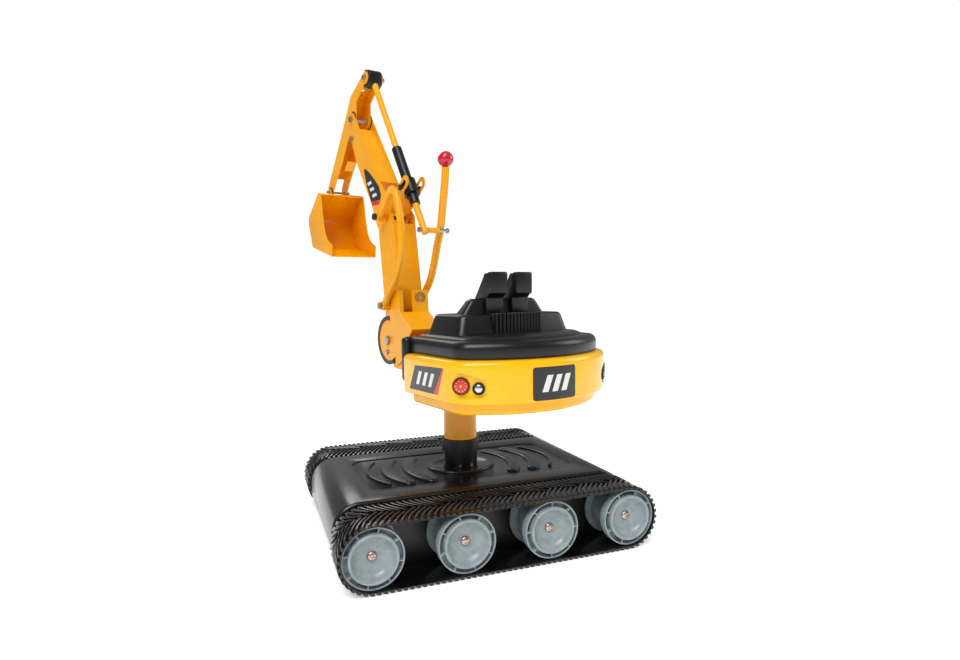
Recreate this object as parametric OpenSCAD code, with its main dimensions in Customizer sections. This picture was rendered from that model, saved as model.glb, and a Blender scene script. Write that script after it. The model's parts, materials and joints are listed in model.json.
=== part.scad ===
// Ride-on toy excavator: tracked base, slewing seat and a hand-worked digging arm.
// X runs across the seat (right positive), Y forward towards the arm, Z up, all in mm.
// The origin is on the floor, under the middle of the whole toy.

/* [Base] */
// Length over the two tracks
base_l = 475; // [440:1:520]
// Width over the two tracks
base_w = 430; // [400:1:460]
// Height of a track
track_h = 95; // [90:1:100]
// Width of one track
track_w = 74; // [60:1:78]
// Thickness of the track band with its lugs
band_t = 5.2; // [4:0.1:6]
// Distance between neighbouring rollers
roller_pitch = 127; // [120:1:130]
// Angle by which the base is turned under the seat
base_yaw = 13.4; // [0:0.1:90]
// Height of the top of the chassis cover
deck_z = 95; // [90:1:98]
// Half of the cover's width
deck_hw = 129; // [110:1:132]

/* [Rollers] */
// Outer radius of a roller
roller_r = 41.4; // [38:0.1:42]
// Width of a roller
roller_w = 62; // [50:1:64]
// Outer radius of the roller's cup
cup_r = 32.8; // [28:0.1:36]
// Depth of the cup
cup_d = 14; // [8:1:18]
// Radius of an axle bolt
axle_r = 5; // [4:0.5:6]
// Radial running clearance of rollers, pins and the slew core
fit = 0.05; // [0.02:0.01:0.08]

/* [Slewing column] */
// Radius of the visible yellow tube
column_r = 27.5; // [25:0.5:30]
// Radius of the steel core inside the tube
core_r = 22; // [18:0.5:23]
// Height of the thrust collar's top face
collar_z = 141; // [130:1:150]

/* [Seat body] */
// Half width of the yellow shell
shell_hw = 137; // [125:1:145]
// Radius of the shell's rounded rear
shell_r = 184; // [170:1:200]
// Height of the shell's step line
shell_step_z = 239; // [235:1:245]
// Height of the shell's underside
shell_bottom_z = 223; // [215:1:230]
// Height of the shell's top edge
shell_top_z = 296; // [290:1:300]
// Inset of the lower lip and of the black seat moulding
shell_inset = 12; // [8:1:14]
// Wall of the mouldings
wall = 3; // [2.5:0.5:4]
// Height of the black hood behind the rider
hood_z = 352; // [345:1:360]
// Height of the two backrest posts
back_z = 413; // [400:1:420]
// Height of the saddle
saddle_z = 306; // [300:1:312]

/* [Arm] */
// Half width of the lower boom over its side plates
boom_hw = 23.5; // [22:0.5:25]
// Half width of the upper boom over its side plates
upper_hw = 20.5; // [20:0.5:21]
// Half width of the stick over its side plates
stick_hw = 17; // [16:0.5:17]
// Thickness of the sheet steel
sheet = 2; // [1.5:0.5:2.5]
// Radius of the handle and lever tubes
tube_r = 7; // [6:0.5:8]
// Distance of the grab handle's tube from the middle plane
handle_x = 38; // [37:1:40]
// Distance of the lever's tube from the middle plane
lever_x = 38; // [36:1:40]
// Radius of the push rod
rod_r = 6; // [5:0.5:6.5]
// Radius of the lever's knob
knob_r = 17; // [14:1:20]
// Half width of the bucket
bucket_hw = 52; // [48:1:56]

/* [Hidden] */
$fn = 48;
eps = 0.01;

// The slewing axis stands behind the middle of the whole toy, because the arm reaches forward.
slew_y = -150.9;

// Pivots of the arm at rest, [y, z] measured from the slewing axis and the floor.
p_tilt = [203, 292];
p_axle = [200, 358];
p_elbow = [216, 525];
p_stick = [375, 743];
p_stop = [372, 703];
p_head = [312, 812];
p_cross = [111, 494];
p_bucket = [511, 609];

// Line of the push rod at rest.
rod_l = norm(p_head - p_cross);
rod_dir = (p_head - p_cross) / rod_l;
rod_angle = atan2(rod_dir[1], rod_dir[0]);
rod_side = [-rod_dir[1], rod_dir[0]];
sleeve_s = 95;
p_sleeve = p_cross + sleeve_s * rod_dir;

// Radii and thicknesses that several pieces share.
bolt_r = 4;
pin_r = 4;
nut_h = 5;
nut_r = 6.5;
gap = 0.5;
tip_r = 13;
lug_r = 9.5;
tube_foot_r = 8;
bend_bead = 0.25;

roller_x = [for (i = [0:3]) (i - 1.5) * roller_pitch];
track_r = track_h / 2;
track_half = (base_l - track_h) / 2;
roller_y = base_w / 2 - 2;
inner_y = base_w / 2 - track_w;
shell_front_y = -66;
shell_mid_y = -74;
corner_r = 44;
beam_z = 240;
beam_h = 30;
beam_hw = 17;

/* Frames of reference */

// Places its children in the frame of the seat, whose axis is the slewing axis.
module on_seat() { translate([0, slew_y, 0]) children(); }

// Places its children in the frame of the base, which is turned under the seat.
module on_base() { translate([0, slew_y, 0]) rotate([0, 0, -base_yaw]) children(); }

// Extrudes a side view, drawn as [y, z], from x0 over a width of w.
module side_view(x0, w) { translate([x0, 0, 0]) rotate([90, 0, 90]) linear_extrude(w) children(); }

// A pair of equal side plates whose outer faces are hw from the middle plane.
module plates(hw, t) {
  side_view(-hw, t) children();
  side_view(hw - t, t) children();
}

// A round bar across the arm at p = [y, z], from x0 to x1.
module cross_bar(p, x0, x1, r) {
  translate([x0, p[0], p[1]]) rotate([0, 90, 0]) cylinder(r = r, h = x1 - x0);
}

// A hexagonal nut or bolt head across the arm.
module cross_nut(p, x0, x1, r) {
  translate([x0, p[0], p[1]]) rotate([0, 90, 0]) cylinder(r = r, h = x1 - x0, $fn = 6);
}

// A bolt across the arm with a hexagonal head on the left and a nut on the right.
module cross_fastener(p, x0, x1, r, head_r = nut_r) {
  cross_bar(p, x0 - 1, x1 + 3, r);
  cross_nut(p, x0 - nut_h, x0, head_r);
  cross_nut(p, x1, x1 + nut_h, head_r);
}

// A bent tube of radius r through 3-D points.
module bent_tube(points, r) {
  for (i = [0:len(points) - 2]) {
    step = points[i + 1] - points[i];
    translate(points[i])
      rotate([0, acos(step[2] / norm(step)), atan2(step[1], step[0])])
        cylinder(r = r, h = norm(step));
  }
  for (i = [1:len(points) - 2]) translate(points[i]) sphere(r = r + bend_bead);
}

// A band of width w along a straight line in the side view, with round ends.
module strut(a, b, r) {
  d = b - a;
  translate(a) rotate(atan2(d[1], d[0])) translate([0, -r]) square([norm(d), 2 * r]);
  translate(a) circle(r);
  translate(b) circle(r);
}

// Points of an arc in the plane.
function arc(c, r, a0, a1, n) = [for (i = [0:n]) c + r * [cos(a0 + (a1 - a0) * i / n), sin(a0 + (a1 - a0) * i / n)]];

// Plan of the seat body, inset by d and cut off at y = front.
function body_plan(d, front) =
  let (
    hw = shell_hw - d,
    r = shell_r - d,
    rc = corner_r - d,
    cx = hw - rc,
    cy = shell_mid_y - sqrt(pow(r - rc, 2) - cx * cx),
    a = atan2(cy - shell_mid_y, -cx)
  )
  concat(
    [[-hw, front]],
    arc([-cx, cy], rc, -180, a, 6),
    arc([0, shell_mid_y], r, a, -180 - a, 12),
    arc([cx, cy], rc, -180 - a, 0, 6),
    [[hw, front]]
  );

// A stadium, the side view of a track loop, inset by d.
module loop_view(d) { strut([-track_half, track_r], [track_half, track_r], track_r - d); }

/* Base */

module track(side) {
  color("#1d1c1b") on_base()
    translate([0, side > 0 ? base_w / 2 : -inner_y, 0])
      rotate([90, 0, 0])
        linear_extrude(track_w)
          difference() {
            loop_view(0);
            loop_view(band_t);
          }
}

module near_track() { track(-1); }

module far_track() { track(1); }

carrier_t = 6;
carrier_gap = 0.1;
floor_z = 30;
floor_t = 5;
rib_hw = deck_hw - wall - gap;

module carrier_view() {
  difference() {
    loop_view(band_t + carrier_gap);
    for (x = roller_x) translate([x, track_r]) circle(axle_r);
  }
}

module chassis_frame() {
  color("#161616") on_base() {
    for (side = [-1, 1])
      translate([0, side * (inner_y + 2) + carrier_t / 2 * (1 + side), 0])
        rotate([90, 0, 0]) linear_extrude(carrier_t) carrier_view();
    difference() {
      translate([-track_half, -inner_y - 2, floor_z]) cube([2 * track_half, 2 * inner_y + 4, floor_t]);
      translate([0, 0, floor_z - 1]) cylinder(r = core_r, h = floor_t + 2);
    }
    for (x = [-150, -60, 60, 150])
      translate([x - 2, -rib_hw, floor_z]) cube([4, 2 * rib_hw, 32]);
  }
}

cover_end = 198;
cover_drop = 34;
cover_skirt_z = 48;

// Side view of the cover from end to end, inset by d: a flat top with long rounded ends.
module cover_view(d) {
  polygon(concat(
    [[-cover_end - cover_drop + d, cover_skirt_z - 18], [-cover_end - cover_drop + d, 55]],
    arc([-cover_end + 6, 55], 40 - d, 180, 90, 8),
    arc([cover_end - 6, 55], 40 - d, 90, 0, 8),
    [[cover_end + cover_drop - d, cover_skirt_z - 18]]
  ));
}

module cover_block(d, hw) { translate([0, hw, 0]) rotate([90, 0, 0]) linear_extrude(2 * hw) cover_view(d); }

pan_hl = 172;
pan_hw = 84;

module chassis_cover() {
  color("#2b2b2d") on_base()
    difference() {
      cover_block(0, deck_hw);
      difference() {
        cover_block(wall, deck_hw - wall);
        translate([0, 0, deck_z - 6]) cube([2 * pan_hl, 2 * pan_hw, 6], center = true);
      }
      translate([0, 0, deck_z]) linear_extrude(4, center = true) square([2 * pan_hl, 2 * pan_hw], center = true);
      translate([0, 0, deck_z - 20]) cylinder(r = column_r + 1, h = 30);
      translate([-track_half - 1, -deck_hw - 1, floor_z - 1])
        cube([2 * track_half + 2, 2 * deck_hw + 2, floor_t + 1.2]);
    }
}

bolt_head_r = 7;

module axle_bolts() {
  color("#c9b8a8") on_base()
    for (side = [-1, 1], x = roller_x)
      translate([x, side * roller_y, track_r]) rotate([side * 90, 0, 0]) {
        translate([0, 0, cup_d + 0.3]) cylinder(r = axle_r, h = roller_w - cup_d + 11);
        translate([0, 0, cup_d - 5]) cylinder(r = bolt_head_r, h = 4.6);
        translate([0, 0, cup_d - 0.5]) cylinder(r = axle_r, h = 1);
      }
}

// Section of a roller, [radius, depth from the outer face].
module roller_section() {
  rim = 2.4;
  floor_t = 4;
  bore = axle_r + fit;
  difference() {
    union() {
      translate([cup_r - 2.6, 0]) square([2.6, roller_w]);
      translate([bore, cup_d]) square([cup_r - bore, floor_t]);
      translate([bore, cup_d]) square([5, roller_w - cup_d]);
      translate([roller_r - rim, 0]) square([rim, 16]);
      translate([cup_r - 1, 13]) square([roller_r - cup_r + 1, 3]);
      translate([cup_r - 1, roller_w - 4]) square([roller_r - cup_r + 1, 4]);
      translate([bore, roller_w - 4]) square([cup_r - bore, 4]);
    }
  }
}

module roller(side, x) {
  spokes = 8;
  color("#87959a") on_base()
    translate([x, side * roller_y, track_r]) rotate([side * 90, 0, 0]) {
      rotate_extrude() roller_section();
      for (i = [0:spokes - 1]) rotate([0, 0, i * 360 / spokes + 12])
        translate([cup_r - 1, -1.1, 0.5]) cube([roller_r - cup_r, 2.2, 14]);
    }
}

module roller_near_1() { roller(-1, roller_x[0]); }
module roller_near_2() { roller(-1, roller_x[1]); }
module roller_near_3() { roller(-1, roller_x[2]); }
module roller_near_4() { roller(-1, roller_x[3]); }
module roller_far_1() { roller(1, roller_x[0]); }
module roller_far_2() { roller(1, roller_x[1]); }
module roller_far_3() { roller(1, roller_x[2]); }
module roller_far_4() { roller(1, roller_x[3]); }

/* Slewing column */

pillar_top_z = 121;
pillar_foot_z = 35;
core_top_z = 226;

pillar_screw_r = 1.6;

// Places its children under the skin of the pillar, at each of its screws.
module on_pillar_side() {
  for (a = [-110, -70, 70, 110]) rotate([0, 0, a])
    translate([column_r - 4, 0, 99]) rotate([0, 90, 0]) children();
}

module pillar() {
  color("#141414") on_base()
    difference() {
      union() {
        translate([0, 0, pillar_foot_z]) cylinder(r = column_r, h = pillar_top_z - pillar_foot_z);
        translate([0, 0, pillar_foot_z]) cylinder(r = 44, h = 5);
      }
      translate([0, 0, pillar_foot_z - 1]) cylinder(r = core_r, h = 100);
      on_pillar_side() cylinder(r = pillar_screw_r, h = 10);
    }
}

module pillar_screws() {
  color("#8f9499") on_base()
    on_pillar_side() {
      cylinder(r = pillar_screw_r, h = 4.5);
      translate([0, 0, 4]) cylinder(r = 2.6, h = 1.4);
    }
}

module thrust_collar() {
  color("#121212") on_base()
    difference() {
      translate([0, 0, pillar_top_z]) cylinder(r = 31.3, h = collar_z - pillar_top_z);
      translate([0, 0, pillar_top_z - 1]) cylinder(r = core_r, h = 30);
    }
}

module slew_core() {
  color("#9a9ea3") on_base()
    difference() {
      translate([0, 0, floor_z - 2]) cylinder(r = core_r, h = core_top_z - floor_z + 2);
      translate([0, 0, floor_z + 4]) cylinder(r = core_r - 3, h = core_top_z - floor_z - 10);
      translate([0, 0, core_top_z - 20]) cylinder(r = bolt_r, h = 30);
      translate([0, 0, floor_z - 5]) cylinder(r = bolt_r + 4, h = 15);
    }
}

module slew_bolt() {
  color("#9a9ea3") on_base() {
    translate([0, 0, core_top_z - 18]) cylinder(r = bolt_r, h = 24);
    translate([0, 0, core_top_z]) cylinder(r = 23.5, h = 2);
    translate([0, 0, core_top_z + 2]) cylinder(r = nut_r, h = nut_h, $fn = 6);
    translate([0, 0, core_top_z - 14]) cylinder(r = nut_r + 1, h = nut_h, $fn = 6);
  }
}

module column_tube() {
  color("#f6a800") on_seat()
    difference() {
      translate([0, 0, collar_z + 0.4]) cylinder(r = column_r, h = beam_z - collar_z - 0.4);
      translate([0, 0, collar_z - 1]) cylinder(r = column_r - 2.5, h = beam_z - collar_z + 5);
    }
}

module column_bushes() {
  color("#d8d8d2") on_seat()
    for (z = [collar_z + 1, core_top_z - 24])
      translate([0, 0, z]) difference() {
        cylinder(r = column_r - 2.5, h = 22);
        translate([0, 0, -1]) cylinder(r = core_r + fit, h = 24);
      }
}

/* Seat body */

beam_back_y = -205;
beam_front_y = 150;
strap_y = [-193, -104];
strap_hw = 96;
strap_w = 25;
strap_t = 3;
seat_screw_x = 80;
seat_screw_r = 2;

// Places its children at each screw that holds the shell under a strap.
module on_seat_screws() {
  for (x = [-seat_screw_x, seat_screw_x], y = strap_y + strap_w / 2 * [1, 1]) translate([x, y, 0]) children();
}

module seat_frame() {
  lug_hw = 27;
  color("#f2a400") on_seat() {
    difference() {
      union() {
        translate([-beam_hw, beam_back_y, beam_z]) cube([2 * beam_hw, beam_front_y - beam_back_y, beam_h]);
        for (y = strap_y)
          translate([-strap_hw, y, beam_z + beam_h]) cube([2 * strap_hw, strap_w, strap_t]);
        side_view(-lug_hw, 2 * lug_hw) intersection() {
          polygon([[130, beam_z], [130, beam_z + beam_h], [176, 306], [240, 330], [240, 250], [176, beam_z]]);
          union() {
            translate(p_tilt) circle(26);
            translate([120, 220]) square([70, 110]);
          }
        }
      }
      side_view(-lug_hw - 1, 2 * lug_hw + 2) translate(p_tilt) circle(bolt_r + 1 + fit);
      translate([-beam_hw + sheet, beam_back_y - 1, beam_z + sheet])
        cube([2 * (beam_hw - sheet), beam_front_y - beam_back_y - 20, beam_h - 2 * sheet]);
      translate([0, 0, beam_z - 1]) cylinder(r = column_r - 2.5, h = 10);
      on_seat_screws() translate([0, 0, beam_z]) cylinder(r = seat_screw_r, h = beam_h + 10);
    }
  }
}

module lower_shell() {
  slot_hw = beam_hw + 3;
  color("#fbbc05") on_seat()
    difference() {
      union() {
        translate([0, 0, shell_bottom_z]) linear_extrude(shell_step_z - shell_bottom_z + eps)
          polygon(body_plan(shell_inset, shell_front_y - 18));
        translate([0, 0, shell_step_z]) linear_extrude(shell_top_z - shell_step_z)
          polygon(body_plan(0, shell_front_y));
      }
      translate([0, 0, shell_bottom_z + wall]) linear_extrude(30)
        polygon(body_plan(shell_inset + wall, shell_front_y - 18 - wall));
      translate([0, 0, shell_step_z + wall]) linear_extrude(80)
        polygon(body_plan(wall, shell_front_y - wall));
      translate([-slot_hw, shell_front_y - 30, beam_z - 3]) cube([2 * slot_hw, 40, 100]);
      on_seat_screws() translate([0, 0, shell_bottom_z - 1]) cylinder(r = seat_screw_r, h = 20);
    }
}

// A block whose top is smaller than its foot, both given as [x half width, y back, y front, z].
module taper_block(foot, top) {
  hull() {
    translate([-foot[0], foot[1], foot[3]]) cube([2 * foot[0], foot[2] - foot[1], eps]);
    translate([-top[0], top[1], top[3] - eps]) cube([2 * top[0], top[2] - top[1], eps]);
  }
}

hood_foot = [100, -168, -60, 322];
hood_top = [86, -158, -70, hood_z];
apron_y = -50;
brim_z = 324;
saddle_foot = [70, -60, 78, 262];
saddle_top = [62, -60, 66, saddle_z];

module seat_shell() {
  in = wall;
  color("#1b1b1c") on_seat() {
    difference() {
      union() {
        translate([0, 0, shell_top_z]) linear_extrude(brim_z - shell_top_z) polygon(body_plan(shell_inset, apron_y));
        taper_block(hood_foot, hood_top);
        taper_block(saddle_foot, saddle_top);
        translate([-shell_hw + 2, shell_front_y + 1, 252]) cube([2 * shell_hw - 4, 12, shell_top_z - 252 + 10]);
      }
      translate([0, 0, shell_top_z - 1]) linear_extrude(brim_z - shell_top_z - in + 1)
        polygon(body_plan(shell_inset + in, apron_y - in));
      taper_block([hood_foot[0] - in, hood_foot[1] + in, hood_foot[2] - in, hood_foot[3] - 6],
        [hood_top[0] - in, hood_top[1] + in, hood_top[2] - in, hood_z - in]);
      taper_block([saddle_foot[0] - in, apron_y - 1, saddle_foot[2] - in, saddle_foot[3] - 1],
        [saddle_top[0] - in, apron_y - 1, saddle_top[2] - in, saddle_z - in]);
      translate([-beam_hw - 3, -70, 230]) cube([2 * beam_hw + 6, 160, 45]);
    }
    difference() {
      side_view(-38, 76) polygon([
        [-118, hood_z - 2], [-128, 405], [-131, back_z], [-142, back_z],
        [-144, 379], [-138, 375], [-138, hood_z - 2]]);
      translate([-7, -160, hood_z + 6]) cube([14, 60, 80]);
    }
    side_view(-72, 144) polygon([[-120, hood_z - 2], [-126, 373], [-136, 373], [-138, hood_z - 2]]);
    translate([-46, -173, 318]) cube([92, 14, hood_z - 322]);
  }
}

module seat_screws() {
  color("#8f9499") on_seat()
    on_seat_screws() {
      translate([0, 0, shell_bottom_z - 2.5]) cylinder(r = 5, h = 2.5);
      translate([0, 0, shell_bottom_z - 1])
        cylinder(r = seat_screw_r, h = beam_z + beam_h + strap_t - shell_bottom_z + 4);
    }
}

red_lamp_z = 264;
silver_lamp_z = 261;
red_lamp_r = 10;
silver_lamp_r = 7;
lamp_t = 2;
lamp_turn = 42.4;
lamp_corner = [119.5, -213.3];
lamp_apart = 11.5;
lamp_stand = 1.2;

// Places its children on the rear corner s of the shell, a distance towards the flank, facing outwards.
module on_corner(s, towards_flank, z) {
  translate([s * lamp_corner[0], lamp_corner[1], z]) rotate([0, 0, s * lamp_turn])
    translate([s * towards_flank, -lamp_stand, 0]) rotate([90, 0, 0]) children();
}

module tail_lamps() {
  color("#d3141e") on_seat()
    for (s = [-1, 1]) on_corner(s, lamp_apart, red_lamp_z) cylinder(r = red_lamp_r, h = lamp_t);
}

module work_lamps() {
  color("#c8ccd0") on_seat()
    for (s = [-1, 1]) on_corner(s, -lamp_apart, silver_lamp_z) cylinder(r = silver_lamp_r, h = lamp_t);
}

module tilt_bolt() { color("#aab0b6") on_seat() cross_fastener(p_tilt, -30.5, 30.5, bolt_r + 1, 8.5); }

/* Boom */

bracket_hw = 30;
bracket_t = 2.5;
guard_in_r = 38.5;
guard_out_r = 46;
guard_from = -118;
guard_to = 100;

module bracket_view() {
  difference() {
    union() {
      translate(p_tilt) circle(guard_in_r);
      polygon([
        [156, 388], [168, 388], [212, 358], [214, 336], p_tilt, [174, 262],
        [171, 247], [149, 257], [136, 288], [108, 317], [153, 347]]);
    }
    guard_view();
    translate(p_tilt) circle(bolt_r + 1 + fit);
    translate(p_axle) circle(bolt_r);
  }
}

module foot_bracket() {
  color("#f4a602") on_seat() {
    plates(bracket_hw, bracket_t) bracket_view();
    side_view(-bracket_hw, 2 * bracket_hw)
      polygon([[153, 347], [108, 317], [109.6, 315], [154.6, 345]]);
    side_view(-bracket_hw, 8) polygon([[156, 388], [153, 346], [155, 346], [158, 388]]);
    side_view(-4, bracket_hw + 4) polygon([[156, 388], [153, 346], [155, 346], [158, 388]]);
  }
}

// A black edge guard round the front of each bracket cheek.
module guard_view() {
  difference() {
    translate(p_tilt) circle(guard_out_r);
    translate(p_tilt) circle(guard_in_r);
    polygon([
      p_tilt, p_tilt + 60 * [cos(guard_to), sin(guard_to)], [130, 355], [130, 230],
      p_tilt + 60 * [cos(guard_from), sin(guard_from)]]);
  }
}

module finger_guards() { color("#111111") on_seat() plates(bracket_hw + 1, bracket_t + 1) guard_view(); }

module lower_boom() {
  web = 2;
  color("#f6a900") on_seat() {
    plates(boom_hw, sheet) difference() {
      polygon([
        [183, 338], [218, 338], [228, 350], [231, 372], [250, 504], [252, 524], [240, 545],
        [206, 545], [189, 528], [185, 500], [167, 389], [172, 352]]);
      translate(p_axle) circle(bolt_r);
      translate(p_elbow) circle(bolt_r);
    }
    side_view(-boom_hw, 2 * boom_hw) polygon([[167, 389], [167 + web, 389], [187 + web, 512], [187, 512]]);
  }
}

module upper_boom() {
  color("#f8ab00") on_seat() {
    plates(upper_hw, sheet) difference() {
      union() {
        polygon([
          [222, 506], [256, 506], [269, 523], [285, 556], [349, 643], [371, 682],
          [385, 712], [387, 738], [368, 754], [247, 597], [214, 560], [200, 528]]);
        translate(p_stick) circle(tip_r);
      }
      translate(p_stick) circle(bolt_r);
      translate(p_stop) circle(bolt_r - 1);
      translate(p_elbow) circle(bolt_r);
    }
    side_view(-upper_hw, 2 * upper_hw) polygon([[247, 597], [248.5, 595.7], [348.5, 717.2], [347, 718.5]]);
  }
}

handle_path = [
  [-handle_x, p_axle[0], p_axle[1]], [-handle_x, 181, 380], [-handle_x, 150, 408], [-handle_x, 135, 430],
  [-handle_x, 127, 462], [-handle_x, 127, 497], [-handle_x, 133, 530], [-handle_x, 141, 553],
  [-handle_x, 151, 566], [-handle_x, 163, 568], [-handle_x, 176, 560], [-handle_x, 192, 544],
  [-handle_x, p_elbow[0], p_elbow[1]]
];

module grab_handle() {
  color("#f7ac04") on_seat()
    difference() {
      union() {
        bent_tube(handle_path, tube_r);
        cross_bar(p_axle, -handle_x - 6, -bracket_hw - gap, tube_foot_r);
        cross_bar(p_elbow, -handle_x - 6, -boom_hw - gap, tube_foot_r);
      }
      cross_bar(p_axle, -60, 0, bolt_r);
      cross_bar(p_elbow, -60, 0, bolt_r);
    }
}

module axle_bolt() {
  color("#aab0b6") on_seat()
    cross_fastener(p_axle, -handle_x - 7.5, lever_x + 8.3, bolt_r);
}

module elbow_bolt() {
  color("#15181b") on_seat()
    cross_fastener(p_elbow, -handle_x - 7.5, boom_hw + 0.3, bolt_r);
}

bracket_ear_hw = 18;
slot_back = 14;
slot_front = 15;

module rod_bracket() {
  slot_r = pin_r + 1.5;
  color("#f4a602") on_seat() {
    plates(bracket_ear_hw, sheet) difference() {
      union() {
        strut(p_sleeve + (slot_back + 3) * rod_side, p_sleeve - (slot_front + 3) * rod_side, 11);
        polygon([p_sleeve + [-10, -8], p_sleeve + [20, 2], [226, 560], [222, 534], [200, 532]]);
      }
      strut(p_sleeve + slot_back * rod_side, p_sleeve - slot_front * rod_side, slot_r);
      translate(p_elbow) circle(bolt_r);
    }
    plates(bracket_ear_hw, sheet) difference() {
      translate(p_elbow) circle(14);
      translate(p_elbow) circle(bolt_r);
    }
    side_view(-bracket_ear_hw, 2 * bracket_ear_hw) polygon([[200, 532], [202, 531], [206, 541], [204, 542]]);
  }
}

module stop_bolt() {
  color("#aab0b6") on_seat()
    cross_fastener(p_stop, -upper_hw - 0.3, upper_hw + 0.3, bolt_r - 1, 5);
}

module stick_bolt() {
  color("#aab0b6") on_seat()
    cross_fastener(p_stick, -upper_hw - 0.3, upper_hw + 0.3, bolt_r);
}

module stick_liners() {
  color("#101010") on_seat()
    for (s = [-1, 1])
      cross_ring(p_stick, s * (stick_hw + upper_hw - sheet) / 2, upper_hw - sheet - stick_hw - 0.6, tip_r + 3);
}

// A washer across the arm, centred at x, of thickness t.
module cross_ring(p, x, t, r) {
  difference() {
    cross_bar(p, x - t / 2, x + t / 2, r);
    cross_bar(p, x - t, x + t, bolt_r + fit);
  }
}

/* Lever, push rod and sleeve */

lever_path = [
  [lever_x, p_axle[0], p_axle[1]], [lever_x, 181, 381], [lever_x, 160, 404], [lever_x, 145, 432],
  [lever_x, 133, 463], [lever_x, 119, 497], [lever_x, 109, 540], [lever_x, 101, 578], [lever_x, 97, 606]
];

module lever_tube() {
  color("#f7ac04") on_seat()
    difference() {
      union() {
        bent_tube(lever_path, tube_r);
        cross_bar(p_axle, bracket_hw + gap, lever_x + 8, tube_foot_r);
        cross_bar([p_cross[0] + 4, p_cross[1]], lever_x - tube_r, lever_x + tube_r, tube_foot_r);
      }
      cross_bar(p_axle, 0, 80, bolt_r + fit);
      cross_bar(p_cross, 0, 80, bolt_r - 1);
    }
}

module lever_knob() {
  color("#dd1a22") on_seat()
    difference() {
      translate([lever_x, 97, 620]) sphere(r = knob_r, $fn = 64);
      translate([lever_x, 98, 590]) cylinder(r = tube_r + 0.2, h = 20);
    }
}

module cross_bolt() {
  color("#aab0b6") on_seat() {
    cross_bar(p_cross, -rod_r - 3, lever_x + tube_r + 4, bolt_r - 1);
    cross_nut(p_cross, -rod_r - 6, -rod_r - 1.5, 5);
    cross_nut(p_cross, lever_x + tube_r + 1.3, lever_x + tube_r + 5, 5);
  }
}

module cross_spacer() {
  color("#f7ac04") on_seat()
    difference() {
      cross_bar(p_cross, rod_r + 1, lever_x - tube_r - 1, 5);
      cross_bar(p_cross, 0, lever_x, bolt_r - 1);
    }
}

// A bar along the push rod's line, from s0 to s1 beyond the cross bolt.
module rod_bar(s0, s1, r) {
  translate([0, p_cross[0], p_cross[1]]) rotate([rod_angle - 90, 0, 0]) translate([0, 0, s0]) cylinder(r = r, h = s1 - s0);
}

module push_rod() {
  color("#f7ac04") on_seat()
    difference() {
      union() {
        rod_bar(-7, rod_l - 16, rod_r);
        rod_bar(rod_l - 16, rod_l - 10, rod_r - 1);
      }
      cross_bar(p_cross, -20, 20, bolt_r - 1 + fit);
    }
}

sleeve_lo = 58;
sleeve_hi = 190;

module guide_sleeve() {
  color("#171717") on_seat()
    difference() {
      union() {
        rod_bar(sleeve_lo, sleeve_hi, 9.5);
        rod_bar(sleeve_s - 16, sleeve_s + 16, 14);
      }
      rod_bar(sleeve_lo - 1, sleeve_hi + 1, rod_r + fit);
      for (s = [-1, 1]) cross_bar(p_sleeve, s > 0 ? 9 : -16, s > 0 ? 16 : -9, pin_r - 1);
    }
}

module sleeve_pins() {
  color("#0f1113") on_seat()
    for (s = [-1, 1]) {
      cross_bar(p_sleeve, s > 0 ? 9.5 : -20, s > 0 ? 20 : -9.5, pin_r - 1);
      cross_bar(p_sleeve, s > 0 ? bracket_ear_hw + 0.5 : -22, s > 0 ? 22 : -bracket_ear_hw - 0.5, pin_r + 1.5);
    }
}

/* Stick */

module stick_view() {
  difference() {
    union() {
      translate(p_head) circle(12);
      polygon([
        [300, 812], [318, 823], [386, 793], [436, 730], [488, 669], [527, 622],
        [518, 602], [504.3, 602.3], [459, 652], [441, 668], [410, 706], [383, 730],
        [361, 752], [361, 776]]);
      translate(p_stick) circle(14);
      translate(p_bucket) circle(lug_r);
    }
    translate(p_stick) circle(bolt_r + fit);
    translate(p_bucket) circle(bolt_r + fit);
    translate(p_head) circle(bolt_r - 1);
  }
}

module stick() {
  color("#f5a503") on_seat() {
    plates(stick_hw, sheet) stick_view();
    difference() {
      side_view(-stick_hw, 2 * stick_hw)
        polygon([[341, 812.8], [386, 793], [436, 730], [488, 669], [510, 643], [508.4, 641.8],
          [434.6, 728.6], [384.8, 791.2], [340.2, 810.9]]);
      for (p = [[448, 716], [479, 680]])
        side_view(-14, 5) translate(p) rotate(-50) square([24, 20], center = true);
      translate([0, 362, 804]) sphere(r = 4);
    }
    side_view(-4, stick_hw + 4) polygon([[441, 669.5], [460, 652.5], [461.4, 654], [442.4, 671]]);
  }
}

module stick_head() {
  in = stick_hw - sheet;
  color("#141414") on_seat()
    difference() {
      union() {
        side_view(-in, 2 * in) polygon([[300, 802], [296, 822], [318, 832], [342, 806], [330, 792]]);
      }
      side_view(-rod_r - 2, 2 * rod_r + 4) polygon([[285, 770], [285, 812], [294, 819], [304, 820], [318, 818], [334, 780]]);
      cross_bar(p_head, -40, 40, bolt_r - 1);
    }
}

module head_bolt() {
  color("#aab0b6") on_seat()
    cross_fastener(p_head, -stick_hw - 0.3, stick_hw + 2, bolt_r - 1, 5);
}

/* Bucket */

lip = [428, 460];

// Section of the bucket's bent sheet, from the top lip round to the digging edge.
module bucket_skin() {
  t = 2;
  polygon([
    [486, 601], [498, 606], [566, 544], [544, 487], lip,
    [lip[0], lip[1] + t], [542.6, 487 + t + 0.4], [563.6, 543.5], [497.4, 603.6], [487, 599.2]]);
}

module bucket_cheek() {
  polygon([
    [486, 601], [498, 606], [566, 544], [544, 487], lip, [425, 488], [455, 501], [469, 509], [478, 547]]);
}

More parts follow.
